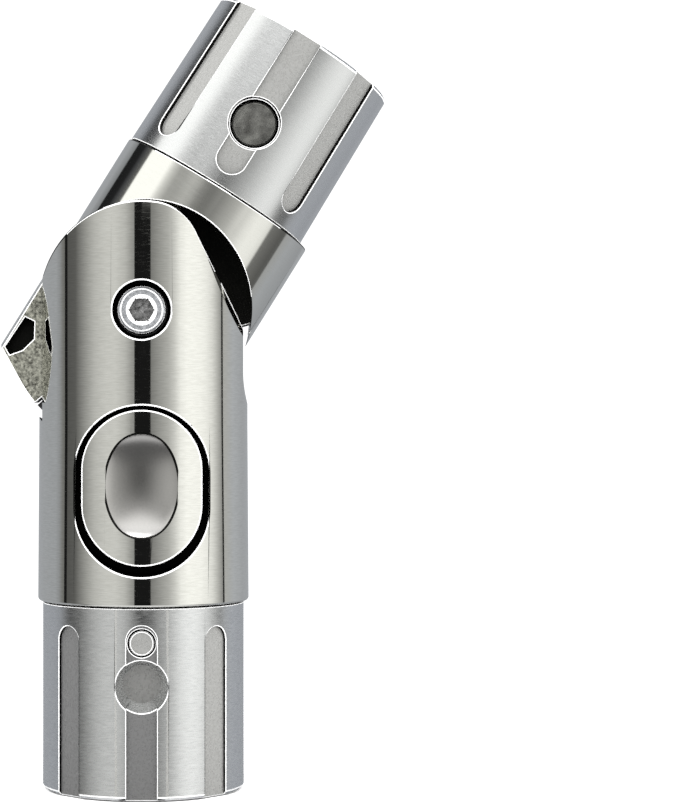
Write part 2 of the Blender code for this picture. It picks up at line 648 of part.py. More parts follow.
def upper_knuckle(b, plug, mat):
    """The collar, with the tongue that hangs from it between the cheeks."""
    body = b.turned("upper_knuckle",
                    [(0, COLLAR_TOP), (JOINT_R - EDGE_ROUND, COLLAR_TOP),
                     (JOINT_R, COLLAR_TOP - EDGE_ROUND),
                     (JOINT_R, KNUCKLE_FOOT + OVER), (0, KNUCKLE_FOOT + OVER)], mat)
    under = ([(REACH, KNUCKLE_FOOT), (REACH, 0)] + arc(COLLAR_UNDER_R, 0, 180)
             + [(-REACH, 0), (-REACH, KNUCKLE_FOOT)])
    first = SECTOR_DEG[0] - 1
    last = SECTOR_DEG[1] + 3
    groove = arc(SECTOR_IN_R - GAP, last, first) + arc(SLOT_FLOOR_R + OVER, first, last)
    beside = TONGUE_HALF + 0.1
    cut(body,
        b.prism("front_cheek_room", under, -REACH, -TONGUE_HALF, "Y"),
        b.prism("rear_cheek_room", under, TONGUE_HALF, REACH, "Y"),
        b.prism("tongue_outline", tongue_outline(), -beside, beside, "Y"),
        b.prism("sector_groove", groove, -SECTOR_GROOVE_HALF, SECTOR_GROOVE_HALF, "Y"),
        b.prism("tail_pocket", TAIL_POCKET, -TONGUE_HALF - OVER, TAIL_POCKET_FLOOR_Y, "Y"),
        b.rod("bush_hole", BUSH_R + GAP, -TONGUE_HALF - OVER, TONGUE_HALF + OVER, "Y",
              segments=HOLE_STEPS),
        plug.rod("collar_socket", SOCKET_R, COLLAR_SOCKET_Z, COLLAR_TOP + OVER, segments=ROUND_STEPS),
        plug.rod("spigot_screw_tap", SHANK_R + GAP, SPIGOT_SCREW_END - GAP, COLLAR_SOCKET_Z + OVER),
        *rivet_rods(b, "tongue", RIVET_R + GAP, TONGUE_HALF + OVER),
        solver="MANIFOLD")


def rivet_rods(b, prefix, radius, half, mat=None):
    return [b.rod(f"{prefix}_rivet_{word}", radius, -half, half, "Y", polar(RIVET_ORBIT_R, angle), mat,
                  segments=TINY_STEPS)
            for word, angle in zip(("left", "right"), RIVET_DEG)]


def lock_sector(b, mat, steel):
    """The notched plate let into the tongue's rim, and the two rivets that hold it."""
    low, high = SECTOR_DEG
    rim = []
    start = low
    for middle in NOTCH_DEG:
        mouth = math.degrees(NOTCH_HALF[0] / TAIL_R)
        floor = math.degrees(NOTCH_HALF[1] / NOTCH_FLOOR_R)
        rim += arc(TAIL_R, start, middle - mouth)
        rim += [polar(NOTCH_FLOOR_R, middle - floor), polar(NOTCH_FLOOR_R, middle + floor)]
        start = middle + mouth
    rim += arc(TAIL_R, start, high)
    sector = b.prism("lock_sector", rim + arc(SECTOR_IN_R, high, low), -SECTOR_HALF, SECTOR_HALF, "Y", mat)
    cut(sector, *rivet_rods(b, "sector_hole", RIVET_R + GAP, SECTOR_HALF + OVER))
    rivet_rods(b, "sector", RIVET_R, TONGUE_HALF - GAP, steel)


def upper_spigot(b, mat):
    """The plug for the upper pole: open pockets round a hub, a cross hole, grooves outside."""
    foot = COLLAR_SOCKET_Z + GAP
    body = b.turned("upper_spigot",
                    [(0, UPPER_TOP), (UPPER_TOP_R - END_CHAMFER, UPPER_TOP),
                     (UPPER_TOP_R, UPPER_TOP - END_CHAMFER), (UPPER_FOOT_R, UPPER_FOOT),
                     (NECK_R, UPPER_FOOT), (NECK_R, foot), (0, foot)], mat)
    for turn in (0, 90, 180, 270):
        outline = quadrant_outline(UPPER_WALL_R, UPPER_HUB_R, turn)
        cut(body, b.prism(f"upper_pocket_{turn}", outline, UPPER_POCKET_Z, UPPER_TOP + OVER))
    hole = (0, CROSS_HOLE_Z)
    join(body, b.rod("cross_hole_boss", CROSS_HOLE_R + CROSS_BOSS_WALL, OVER - UPPER_WALL_R - GROOVE_WALL,
                     OVER - UPPER_HUB_R, "Y", hole))
    taper = math.atan((UPPER_FOOT_R - UPPER_TOP_R) / (UPPER_TOP - UPPER_FOOT))
    low = (UPPER_CHANNEL_Z, UPPER_FLUTE_Z)
    high = (UPPER_TOP + REACH, UPPER_TOP + REACH)
    cut(body,
        b.rod("hub_bore", HUB_BORE_R, HUB_SEAT_Z, UPPER_TOP + OVER),
        b.rod("hub_screw_hole", SHANK_R + GAP, foot - OVER, HUB_SEAT_Z + OVER),
        *grooves(b, "upper", low, high, UPPER_FOOT_R + 0.2, -taper),
        b.rod("cross_hole", CROSS_HOLE_R, -REACH, CROSS_STEP_Y, "Y", hole, segments=HOLE_STEPS),
        b.rod("plug_bore", PLUG_R + GAP, CROSS_STEP_Y - OVER, CROSS_HOLE_FLOOR_Y, "Y", hole,
              segments=HOLE_STEPS))


def upper_small_pieces(b, steel):
    """The plug in the cross hole and the screw that holds the spigot on the collar."""
    b.turned("cross_hole_plug",
             [(0, PLUG_BACK_Y), (PLUG_R, PLUG_BACK_Y), (PLUG_R, PLUG_FACE_Y + GAP),
              (PLUG_R - GAP, PLUG_FACE_Y), (0, PLUG_FACE_Y)],
             steel, "Y", (0, CROSS_HOLE_Z), steps=HOLE_STEPS)
    seat = HUB_SEAT_Z + GAP
    radius, height = SPIGOT_SCREW_HEAD
    screw = b.turned("spigot_screw",
                     [(0, seat + height), (radius - HEAD_CHAMFER, seat + height),
                      (radius, seat + height - HEAD_CHAMFER), (radius, seat), (SHANK_R, seat),
                      (SHANK_R, SPIGOT_SCREW_END), (0, SPIGOT_SCREW_END)],
                     steel, steps=SMALL_STEPS)
    cut(screw, b.rod("spigot_screw_socket", HEX_R, seat + SPIGOT_SCREW_HEX, seat + height + OVER,
                     segments=6))


def pivot_bush(b, mat):
    ring = [(BUSH_R, TONGUE_HALF), (BUSH_R, -TONGUE_HALF), (SLEEVE_R + GAP, -TONGUE_HALF),
            (SLEEVE_R + GAP, TONGUE_HALF)]
    b.turned("pivot_bush", ring, mat, "Y", closed=True, steps=HOLE_STEPS)


def axis_empty(name, cutters, location, tilt=0.0):
    empty = bpy.data.objects.new(name, None)
    empty.location = Vector(location) * MM
    empty.rotation_euler = (0.0, math.radians(tilt), 0.0)
    cutters.objects.link(empty)
    return empty


def main():
    clear_scene()
    pieces = new_collection("umbrella_swivel_bracket")
    cutters = new_collection("cutters")
    polished = metal("polished_casting", (0.62, 0.61, 0.58), 0.08)
    satin = metal("satin_casting", (0.56, 0.57, 0.57), 0.38)
    steel = metal("bright_steel", (0.66, 0.66, 0.65), 0.22)
    dark = metal("spring_steel", (0.16, 0.16, 0.17), 0.35)
    bronze = metal("sintered_bronze", (0.55, 0.38, 0.18), 0.35)

    fixed = Builder(pieces, cutters)
    lower_housing(fixed, polished)
    lower_spigot(fixed, satin)
    spigot_pin(fixed, steel)
    springs_and_guide(fixed, steel, bronze)
    pivot_screw(fixed, steel, dark)
    barrel_nut(fixed, steel)
    thrust_washers(fixed, bronze)

    button_home = (0, -JOINT_R, BUTTON_Z)
    button = Builder(pieces, cutters, axis_empty("button_slide", cutters, button_home), button_home)
    push_button(button, polished)
    button_cam(button, dark, steel)

    pawl_home = (0, 0, PAWL_FOOT)
    pawl = Builder(pieces, cutters, axis_empty("pawl_slide", cutters, pawl_home), pawl_home)
    lock_pawl(pawl, dark, steel)

    tilt_axis = axis_empty("tilt_axis", cutters, (0, 0, PIVOT_Z), REST_TILT)
    head = Builder(pieces, cutters, tilt_axis)
    plug = Builder(pieces, cutters, tilt_axis, (PLUG_SHIFT, 0, 0))
    upper_knuckle(head, plug, polished)
    upper_spigot(plug, satin)
    upper_small_pieces(plug, steel)
    pivot_bush(head, bronze)
    lock_sector(head, dark, steel)


main()
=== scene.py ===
"""Umbrella swivel bracket: finished surfaces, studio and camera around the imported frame."""
import json
import math
from collections import defaultdict

import bmesh
import bpy
from mathutils import Matrix, Vector


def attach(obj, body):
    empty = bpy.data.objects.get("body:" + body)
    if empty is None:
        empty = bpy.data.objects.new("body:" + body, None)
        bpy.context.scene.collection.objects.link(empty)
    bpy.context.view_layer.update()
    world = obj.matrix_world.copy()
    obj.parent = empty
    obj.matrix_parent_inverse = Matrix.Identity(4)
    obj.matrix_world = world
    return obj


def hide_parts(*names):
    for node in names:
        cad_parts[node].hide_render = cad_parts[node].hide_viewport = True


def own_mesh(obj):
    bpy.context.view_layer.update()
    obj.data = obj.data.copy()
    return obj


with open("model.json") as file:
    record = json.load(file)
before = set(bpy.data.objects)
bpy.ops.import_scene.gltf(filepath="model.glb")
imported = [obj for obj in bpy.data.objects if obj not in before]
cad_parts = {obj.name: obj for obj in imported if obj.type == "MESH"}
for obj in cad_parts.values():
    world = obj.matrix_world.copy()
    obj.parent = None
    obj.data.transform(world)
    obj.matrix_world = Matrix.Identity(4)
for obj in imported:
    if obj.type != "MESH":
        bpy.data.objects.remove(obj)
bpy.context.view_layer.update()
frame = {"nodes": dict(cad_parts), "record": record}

SCENE = bpy.context.scene
MM = 0.001
GAP = 0.3       # stand-off between pieces that are pressed or screwed together
OVER = 1.0      # how far a cutter goes past the surface it cuts
REACH = 24.0    # beyond the outside of any piece

# The same driving sizes as the model, in millimetres and degrees
PIVOT_Z = 86.3
REST_TILT = 32.0
JOINT_R = 19.0
HOUSING_FOOT_R = 19.2
SHOULDER_Z = 34.1
HOUSING_DRAFT_Z = 66.0
EDGE_ROUND = 0.6
SPIGOT_R = 18.35
SPIGOT_TOP = SHOULDER_Z - GAP
NECK_R = 15.2
NECK_TOP = 38.0
END_CHAMFER = 0.6
QUADRANT_R = 15.0
QUADRANT_TOP = 28.0
RIB_HALF = 1.5
CHANNEL_HALF = 2.7
FLUTE_HALF = 2.65
CHANNEL_DEPTH = 0.8
CHANNEL_TOP = 30.8
FLUTE_TOP = 30.3
FLUTE_ANGLE = 46.0
RECESS_Z = 20.0
RECESS_R = 4.85
RECESS_FLOOR_R = 3.4
RECESS_FLOOR_Y = -12.7
RECESS_BOSS_R = 7.0
RECESS_BOSS_Y = (-16.3, -10.7)
PIN_Z = 27.7
PIN_HEAD_R = 2.2
PIN_SHANK_R = 1.5
PIN_FACE = 17.75
PIN_HEAD_BACK = 17.2
PIN_END = 14.8
CHEEK_TOP_R = 19.2
SLOT_HALF = 5.5
SLOT_FLOOR_R = 26.8
SLOT_LEFT_DEG = 225.0
SLOT_RIGHT_DEG = 311.0
MOUTH_ROUND_Z = -10.8
MOUTH_STEP_X = 13.7
RELIEF_TOP = (7.73, 17.68)
RELIEF_LEAN = 26.7
RELIEF_ROUND = 9.0
WASHER_RECESS_R = 7.8
WASHER_RECESS_Y = 6.5
MECHANISM_HALF_X = 6.5
SOCKET_TOP = NECK_TOP + GAP
COUNTERBORE_R = 5.15
FRONT_SEAT_Y = -11.6
REAR_SEAT_Y = 12.9
SLEEVE_R = 3.8
SLEEVE_FRONT_Y = -9.5
SHANK_R = 2.5
SCREW_HEAD_R = 4.2
SCREW_FACE_Y = -18.2
SCREW_HEAD_BACK_Y = -13.2
SCREW_TIP_Y = 9.0
LOCK_WASHER_R = (2.9, 4.6)
LOCK_WASHER_Y = (-12.9, -11.9)
NUT_HEAD_R = 4.75
NUT_FACE_Y = 17.9
NUT_BORE_END_Y = 10.0
HEX_R = 2.31
HEX_DEPTH = 2.5
SINK_R = 2.6
HEAD_CHAMFER = 0.5
BUSH_R = 5.6
WINDOW_HALF = (11.9, 15.05)
WINDOW_Z = 54.45
POCKET_FLOOR_Y = -8.0
BUTTON_HALF = (10.7, 13.75)
BUTTON_Z = 55.0
BUTTON_BACK_Y = -11.3
FACE_CUT_Z = (30.0, 80.0)
DIMPLE_Z = 55.4
DIMPLE_RADII = (7.9, 3.0, 9.34)
DIMPLE_Y = -19.6
BUTTON_SPRING_Z = (44.4, 65.4)
BUTTON_SPRING_R = 1.6
BUTTON_WIRE_R = 0.3
BUTTON_TURNS = 4
SPRING_POCKET_R = 2.4
SPRING_POCKET_Y = -14.0
CAM_HALF = 1.2
CAM_LOW = 48.5
CAM_TOP = 55.5
CAM_BASE_HALF = 4.0
CAM_BASE_Z = (48.0, 59.3)
CAM_BASE_Y = -13.4
PAWL_SPRING_R = 2.1
PAWL_WIRE_R = 0.4
PAWL_SPRING_Z = (33.5, 47.2)
PAWL_TURNS = 6
COLLAR_TOP = 25.5
COLLAR_UNDER_R = 19.5
COLLAR_SOCKET_Z = 22.8
SOCKET_R = 15.5
TONGUE_HALF = 5.2
KNUCKLE_FOOT = -29.0
TONGUE_RIGHT_R = 17.3
TONGUE_ROOT_DEG = 26.0
TONGUE_STEP_DEG = -50.0
TONGUE_RIM_R = 22.3
TAIL_R = 25.5
TAIL_STEP_DEG = -108.0
TAIL_EDGE_DEG = -118.0
TAIL_CORNER = (-19.1, -18.5)
TAIL_POCKET = [(-17.6, -12.0), (-15.8, -11.8), (-14.2, -14.5), (-14.9, -17.3), (-16.4, -19.2),
               (-17.8, -18.4)]
TAIL_POCKET_FLOOR_Y = -2.4
# right of SKIN_X the tongue's face takes the painted shade
SKIN_X = -4.0    # the tongue is rough cast skin to the left of this
SECTOR_GROOVE_HALF = 2.6
SECTOR_IN_R = 18.5
SECTOR_DEG = (-107.0, -50.5)
RIVET_DEG = (-82.0, -66.0)
RIVET_ORBIT_R = 20.2
RIVET_R = 1.3
UPPER_FOOT = COLLAR_TOP + GAP
UPPER_TOP = 56.4
PLUG_SHIFT = 0.6
UPPER_FOOT_R = 18.1
UPPER_TOP_R = 17.6
UPPER_WALL_R = 14.4
UPPER_HUB_R = 6.5
UPPER_POCKET_Z = 30.0
UPPER_CHANNEL_Z = 28.2
UPPER_FLUTE_Z = 28.6
HUB_BORE_R = 4.8
HUB_SEAT_Z = 33.0
CROSS_HOLE_Z = 38.4
CROSS_HOLE_R = 4.65
CROSS_STEP_Y = -16.2
PLUG_R = 4.0
PLUG_FACE_Y = -15.6
PLUG_BACK_Y = -12.0
CROSS_HOLE_FLOOR_Y = -9.0
CROSS_BOSS_WALL = 1.8
GROOVE_WALL = 2.5
SPIGOT_SCREW_END = 10.0
SPIGOT_SCREW_HEAD = (4.5, 3.5, 0.5)    # radius, height and chamfer

# Facets
ROUND_STEPS = 240
HOLE_STEPS = 96
RIVET_STEPS = 32
COIL_STEPS = 24
WIRE_SIDES = 10
ARC_STEP = 1.5
ROUND_END_STEP = 3.0
FOOT_STEP = 11.25

# Rounded edges and shading, in millimetres and degrees
WELD = 0.05
EDGE_ANGLE = 28.0      # only edges sharper than this are rounded
EDGE_SEGMENTS = 3
ON_ROUND = 0.06        # how near a point has to be to lie on a turned surface
ON_HOLLOW = 0.012      # the same for an ellipsoid, as a share of its size
CREASE = 26.0          # faces that meet at less than this shade as one
BEVEL_CREASE = 75.0    # and a rounded edge with the face beside it
SLIVER = 0.12          # a face narrower than this has no normal to rely on
COLLAR_LEAN = 2.7
ZONE_SLACK = 0.2       # how far inside a surface a face still takes its material

HEAD = Matrix.Translation((0, 0, PIVOT_Z * MM)) @ Matrix.Rotation(math.radians(REST_TILT), 4, "Y")
PLUG = HEAD @ Matrix.Translation((-PLUG_SHIFT * MM, 0, 0))


# ---------------------------------------------------------------- shapes

def polar(radius, degrees):
    angle = math.radians(degrees)
    return (radius * math.cos(angle), radius * math.sin(angle))


def arc(radius, start, end, step=ARC_STEP):
    count = max(1, round(abs(end - start) / step))
    return [polar(radius, start + (end - start) * i / count) for i in range(count + 1)]


def obround(half_width, half_length, centre=0.0):
    reach = half_length - half_width
    top = [(x, z + centre + reach) for x, z in arc(half_width, 0, 180, ROUND_END_STEP)]
    foot = [(x, z + centre - reach) for x, z in arc(half_width, 180, 360, ROUND_END_STEP)]
    return top + foot


def as_object(name, bm, turn=None):
    bmesh.ops.recalc_face_normals(bm, faces=bm.faces)
    if turn is not None:
        bmesh.ops.transform(bm, matrix=turn, verts=bm.verts)
    mesh = bpy.data.meshes.new(name)
    bm.to_mesh(mesh)
    bm.free()
    obj = bpy.data.objects.new(name, mesh)
    SCENE.collection.objects.link(obj)
    return obj


def prism(name, outline, start, end, axis="Z", spin=0.0, lean=0.0):
    """A flat outline pushed out along one axis, then leant and spun about Z."""
    order = {"Z": lambda u, v, w: (u, v, w), "Y": lambda u, v, w: (u, w, v),
             "X": lambda u, v, w: (w, u, v)}[axis]
    bm = bmesh.new()
    rows = [[bm.verts.new(Vector(order(u, v, w)) * MM) for u, v in outline] for w in (start, end)]
    bm.faces.new(rows[0])
    bm.faces.new(rows[1])
    for i in range(len(outline)):
        j = (i + 1) % len(outline)
        bm.faces.new((rows[0][i], rows[0][j], rows[1][j], rows[1][i]))
    turn = Matrix.Rotation(math.radians(spin), 4, "Z")
    if lean:
        hinge = Vector((0, (start + end) / 2 * MM, 0))
        turn = (turn @ Matrix.Translation(hinge) @ Matrix.Rotation(lean, 4, "X")
                @ Matrix.Translation(-hinge))
    return as_object(name, bm, turn)


def box(name, low, high):
    outline = [(low[0], low[1]), (high[0], low[1]), (high[0], high[1]), (low[0], high[1])]
    return prism(name, outline, low[2], high[2])


def turned(name, profile, axis="Z", at=(0.0, 0.0), closed=False, steps=ROUND_STEPS):
    """Spins a profile of (radius, height) about Z, or about Y through at = (x, z)."""
    bm = bmesh.new()
    rings = []
    for r, h in profile:
        if r == 0:
            rings.append([bm.verts.new((0, 0, h * MM))])
        else:
            rings.append([bm.verts.new((x * MM, y * MM, h * MM))
                          for x, y in (polar(r, 360 * i / steps) for i in range(steps))])
    pairs = list(zip(rings, rings[1:])) + ([(rings[-1], rings[0])] if closed else [])
    for first, second in pairs:
        for i in range(steps):
            j = (i + 1) % steps
            corners = [first[i % len(first)], first[j % len(first)], second[j % len(second)],
                       second[i % len(second)]]
            unique = [v for n, v in enumerate(corners) if v not in corners[:n]]
            if len(unique) > 2:
                bm.faces.new(unique)
    turn = Matrix.Identity(4)
    if axis == "Y":
        turn = (Matrix.Translation((at[0] * MM, 0, at[1] * MM))
                @ Matrix.Rotation(math.radians(-90), 4, "X"))
    elif at != (0.0, 0.0):
        turn = Matrix.Translation((at[0] * MM, at[1] * MM, 0))
    return as_object(name, bm, turn)


def rod(name, radius, start, end, axis="Z", at=(0.0, 0.0), end_radius=None, steps=HOLE_STEPS):
    far = radius if end_radius is None else end_radius
    if axis == "X":
        outline = [(x + at[0], y + at[1]) for x, y in arc(radius, 0, 360, 360 / steps)[:-1]]
        return prism(name, outline, start, end, "X")
    return turned(name, [(0, start), (radius, start), (far, end), (0, end)], axis, at, steps=steps)


def carve(base, *tools, operation="DIFFERENCE", solver="EXACT"):
    """Applies Booleans in order and removes the tools."""
    for tool in tools:
        step = base.modifiers.new(tool.name, "BOOLEAN")
        step.operation = operation
        step.solver = solver
        step.object = tool
    settle(base)
    for tool in tools:
        bpy.data.objects.remove(tool)


def settle(obj):
    graph = bpy.context.evaluated_depsgraph_get()
    mesh = bpy.data.meshes.new_from_object(obj.evaluated_get(graph))
    obj.modifiers.clear()
    obj.data = mesh


# ---------------------------------------------------------------- exact shading

class Round:
    """A turned surface about Z (or Y through a point), of one radius or a straight taper.

    A lean in degrees tips the shading normals off the true surface, towards the axis' end.
    """

    def __init__(self, radius, axis="Z", at=(0.0, 0.0, 0.0), hollow=False, taper=0.0, zero=0.0,
                 lean=0.0):
        self.radius, self.axis, self.at = radius, axis, Vector(at)
        self.sign = -1 if hollow else 1
        self.taper, self.zero = taper, zero
        self.lean = math.tan(math.radians(lean)) - taper

    def split(self, p):
        q = p / MM - self.at
        return (Vector((q.x, q.y, 0)), q.z) if self.axis == "Z" else (Vector((q.x, 0, q.z)), q.y)

    def on(self, p):
        out, along = self.split(p)
        return abs(out.length - self.radius - self.taper * (along - self.zero)) < ON_ROUND

    def normal(self, p):
        out, _ = self.split(p)
        if out.length < 1e-6:
            return Vector((0, 0, 1))
        flat = out.normalized()
        along = Vector((0, 0, 1)) if self.axis == "Z" else Vector((0, 1, 0))
        return (flat + along * self.lean).normalized() * self.sign


class Ellipsoid:
    """The hollow side of an ellipsoid."""

    def __init__(self, centre, radii):
        self.centre, self.radii = Vector(centre), radii

    def on(self, p):
        q = p / MM - self.centre
        size = math.sqrt(sum((c / r) ** 2 for c, r in zip(q, self.radii)))
        return abs(size - 1) < ON_HOLLOW

    def normal(self, p):
        q = p / MM - self.centre
        return -Vector([c / r ** 2 for c, r in zip(q, self.radii)]).normalized()


def shade(obj, surfaces, edge_index):
    """Corner normals: exact on the known surfaces, and eased over the bevels between them."""
    mesh = obj.data
    limit = math.cos(math.radians(CREASE))
    wide = math.cos(math.radians(BEVEL_CREASE))
    points = [v.co for v in mesh.vertices]
    known = {}
    around = defaultdict(list)
    for face in mesh.polygons:
        if face.material_index == edge_index:
            continue
        length = max((points[a] - points[b]).length for a, b in face.edge_keys)
        sliver = face.area < SLIVER * MM * length
        for surface in surfaces:
            if all(surface.on(points[v]) for v in face.vertices):
                if sliver or surface.normal(face.center).dot(face.normal) > 0.97:
                    known[face.index] = surface
                    break
        for v in face.vertices:
            around[v].append(face.index)
    bevels = defaultdict(list)
    for face in mesh.polygons:
        if face.material_index == edge_index:
            for v in face.vertices:
                bevels[v].append(face.normal.copy())
    faces = mesh.polygons

    def plain(v, index):
        if index in known:
            return known[index].normal(points[v])
        own = faces[index].normal
        total = Vector()
        for other in around[v]:
            if other in known:
                exact = known[other].normal(points[v])
                if exact.dot(own) > limit:
                    return exact
            elif faces[other].normal.dot(own) > limit:
                total += faces[other].normal
        return total.normalized() if total.length > 0 else own

    normals = []
    for face in faces:
        for v in face.vertices:
            if face.material_index != edge_index:
                normals.append(plain(v, face.index))
            elif around[v]:
                best = max(around[v], key=lambda i: faces[i].normal.dot(face.normal))
                chosen = plain(v, best)
                normals.append(chosen if chosen.dot(face.normal) > wide else face.normal.copy())
            else:
                normals.append(sum(bevels[v], Vector()).normalized())
    for face in faces:
        face.use_smooth = True
    mesh.normals_split_custom_set([tuple(n) for n in normals])
    mesh.update()


def mark_edges(obj, skip):
    """Only the outward edges get rounded, and of them none that is to be skipped."""
    bm = bmesh.new()
    bm.from_mesh(obj.data)
    weight = bm.edges.layers.float.new("bevel_weight_edge")
    for edge in bm.edges:
        outward = edge.calc_face_angle_signed(0.0) > math.radians(EDGE_ANGLE)
        if len(edge.link_faces) == 2 and outward:
            middle = (edge.verts[0].co + edge.verts[1].co) / 2 / MM
            edge[weight] = 0.0 if skip and skip(middle) else 1.0
    bm.to_mesh(obj.data)
    bm.free()


def finish_piece(obj, node, body, materials, zone=None, surfaces=(), bevel=0.0,
                 place=None, trim=None, skip=None):
    """Rounds the edges, shades the piece, gives it its materials and hangs it on its body.

    The last material is the one of the rounded edges, in most pieces the painted edge highlight. A
    zone picks the material of each plain face and a trim that of each rounded one, which paints
    highlight or shade on the edges. The rounding never grows past the piece's own box.
    """
    obj.data.materials.clear()
    for mat in materials:
        obj.data.materials.append(mat)
    edge = len(materials) - 1
    for face in obj.data.polygons:
        face.material_index = 0
    reach = [[pick(v.co[i] for v in obj.data.vertices) for i in range(3)] for pick in (min, max)]
    if bevel:
        weld = obj.modifiers.new("weld", "WELD")
        weld.merge_threshold = WELD * MM
        settle(obj)
        mark_edges(obj, skip)
        round_off = obj.modifiers.new("bevel", "BEVEL")
        round_off.width = bevel * MM
        round_off.segments = EDGE_SEGMENTS
        round_off.limit_method = "WEIGHT"
        round_off.material = edge
        round_off.use_clamp_overlap = False
        round_off.loop_slide = False
        round_off.miter_outer = "MITER_ARC"
        settle(obj)
    for v in obj.data.vertices:
        v.co = [min(max(v.co[i], reach[0][i]), reach[1][i]) for i in range(3)]
    shade(obj, surfaces, edge)
    for face in obj.data.polygons:
        choose = trim if face.material_index == edge else zone
        if choose:
            face.material_index = choose(face.center / MM, face.normal)
    if place is not None:
        obj.data.transform(place)
    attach(obj, body)
    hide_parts(node)


# ---------------------------------------------------------------- materials

NOISE_LOW, NOISE_HIGH = 0.3, 0.7
STREAK_STRETCH = (0.12, 0.12, 1.0)
PIT_NOISE = (1.6, 8, 0.75)
PIT_LOW, PIT_HIGH = 0.62, 0.72
PIT_COLOUR = (0.25, 0.25, 0.24, 1)
SCRATCH_STRETCH = (0.6, 0.6, 6.0)
SCRATCH_NOISE = (1.0, 5, 0.65)
SCRATCH_LOW, SCRATCH_HIGH = 0.52, 0.66


def new_nodes(tree):
    """Empties a node tree and returns what adds a node with its settings and its inputs."""
    tree.nodes.clear()

    def add(kind, inputs=None, **settings):
        node = tree.nodes.new(kind)
        for key, value in settings.items():
            setattr(node, key, value)
        for key, value in (inputs or {}).items():
            if isinstance(value, bpy.types.NodeSocket):
                tree.links.new(value, node.inputs[key])
            elif value is not None:
                node.inputs[key].default_value = value
        return node
    return add


def metal(name, dark, light, rough, grain=4.0, streak=0.0, streak_scale=9.0, bump=0.0,
          grain_bump=0.0, speckle=0.0, metallic=1.0, scratch=0.0, tilt=0.0):
    """Metal whose colour, gloss and relief vary with fine grain and with turning streaks.

    Speckle adds dark pits and scratch adds dull marks. Tilt leans the pattern, in degrees, for
    the pieces on the tilted head.
    """
    mat = bpy.data.materials.new(name)
    mat.use_nodes = True
    add = new_nodes(mat.node_tree)

    def noise(vector, scale, detail, roughness=0.5):
        return add("ShaderNodeTexNoise", {"Vector": vector, "Scale": scale, "Detail": detail,
                                          "Roughness": roughness}).outputs["Fac"]

    def stretched(vector, scale):
        return add("ShaderNodeMapping", {"Vector": vector, "Scale": scale}).outputs[0]

    def spread(value, low, high, first, last):
        return add("ShaderNodeMapRange", {"Value": value, "From Min": low, "From Max": high,
                                          "To Min": first, "To Max": last}).outputs[0]

    where = add("ShaderNodeTexCoord")
    to_mm = add("ShaderNodeMapping", {"Vector": where.outputs["Object"],
                                      "Rotation": (0, math.radians(-tilt), 0),
                                      "Scale": (1000, 1000, 1000)}).outputs[0]
    fine = noise(to_mm, grain, 4)
    lines = noise(stretched(to_mm, STREAK_STRETCH), streak_scale, 3)
    mixed = add("ShaderNodeMix", {0: streak, 2: fine, 3: lines}, data_type="FLOAT").outputs[0]
    tone = add("ShaderNodeValToRGB", {0: mixed})
    ends = ((NOISE_LOW, dark), (NOISE_HIGH, light))
    for stop, (place, tint) in zip(tone.color_ramp.elements, ends):
        stop.position = place
        stop.color = (*tint, 1)
    colour = tone.outputs[0]
    if speckle:
        pits = spread(noise(to_mm, *PIT_NOISE), PIT_LOW, PIT_HIGH, 0.0, speckle)
        colour = add("ShaderNodeMix", {0: pits, 6: colour, 7: PIT_COLOUR}, data_type="RGBA",
                     blend_type="MULTIPLY").outputs[2]
    dull = spread(mixed, NOISE_LOW, NOISE_HIGH, *rough)
    if scratch:
        marks = noise(stretched(to_mm, SCRATCH_STRETCH), *SCRATCH_NOISE)
        worn = spread(marks, SCRATCH_LOW, SCRATCH_HIGH, 0.0, scratch)
        dull = add("ShaderNodeMath", {0: dull, 1: worn}, operation="ADD").outputs[0]
    normal = None
    for height, depth in ((lines, bump), (fine, grain_bump)):
        if depth:
            normal = add("ShaderNodeBump", {"Strength": 1.0, "Distance": depth * MM,
                                            "Height": height, "Normal": normal}).outputs[0]
    shader = add("ShaderNodeBsdfPrincipled", {"Base Color": colour, "Metallic": metallic,
                                              "Roughness": dull, "Normal": normal})
    add("ShaderNodeOutputMaterial", {0: shader.outputs[0]})
    return mat


def grey(level):
    return (level, level, level)


CHROME = metal("polished_plate", (0.65, 0.65, 0.62), (0.76, 0.76, 0.73), (0.03, 0.04),
               streak=0.95, streak_scale=5.0, bump=0.0004, scratch=0.07)
COLLAR = metal("polished_collar", (0.70, 0.70, 0.67), (0.73, 0.73, 0.70), (0.06, 0.09),
               streak=0.8, streak_scale=3.0, bump=0.0004, tilt=REST_TILT)
# painted highlight: a near-white, partly diffuse finish on the rounded edges stands in for their
# white lines of reflected light
EDGE_HIGHLIGHT = metal("painted_edge_highlight", grey(0.88), grey(0.95), (0.3, 0.4), metallic=0.35)
# painted shade: near black on the inner faces of slots, pockets and groove walls, on the tongue's
# face and on rounded edges facing away
PAINTED_SHADE = metal("painted_recess_shade", (0.012, 0.012, 0.011), (0.02, 0.02, 0.019), (0.45, 0.6),
            grain_bump=0.01)
SKIN = metal("cast_skin", (0.05, 0.05, 0.04), (0.40, 0.40, 0.34), (0.4, 0.6), grain=2.2,
             grain_bump=0.12, speckle=0.9, metallic=0.6)
SATIN = metal("satin_casting", (0.56, 0.57, 0.58), (0.82, 0.83, 0.84), (0.22, 0.32), grain=5.0,
              streak=0.75, streak_scale=6.0, bump=0.004, grain_bump=0.003, speckle=0.2)
SATIN_HEAD = metal("satin_head", (0.66, 0.67, 0.68), (0.80, 0.81, 0.82), (0.20, 0.30), grain=5.0,
                   streak=0.5, streak_scale=7.0, bump=0.002, grain_bump=0.004, speckle=0.15,
                   tilt=REST_TILT)
GROOVE = metal("groove_floor", (0.34, 0.34, 0.33), (0.38, 0.38, 0.37), (0.26, 0.30), grain=2.0,
               metallic=0.5)
CHANNEL = metal("channel_floor", grey(0.18), grey(0.20), (0.26, 0.30), grain=2.0, metallic=0.5)
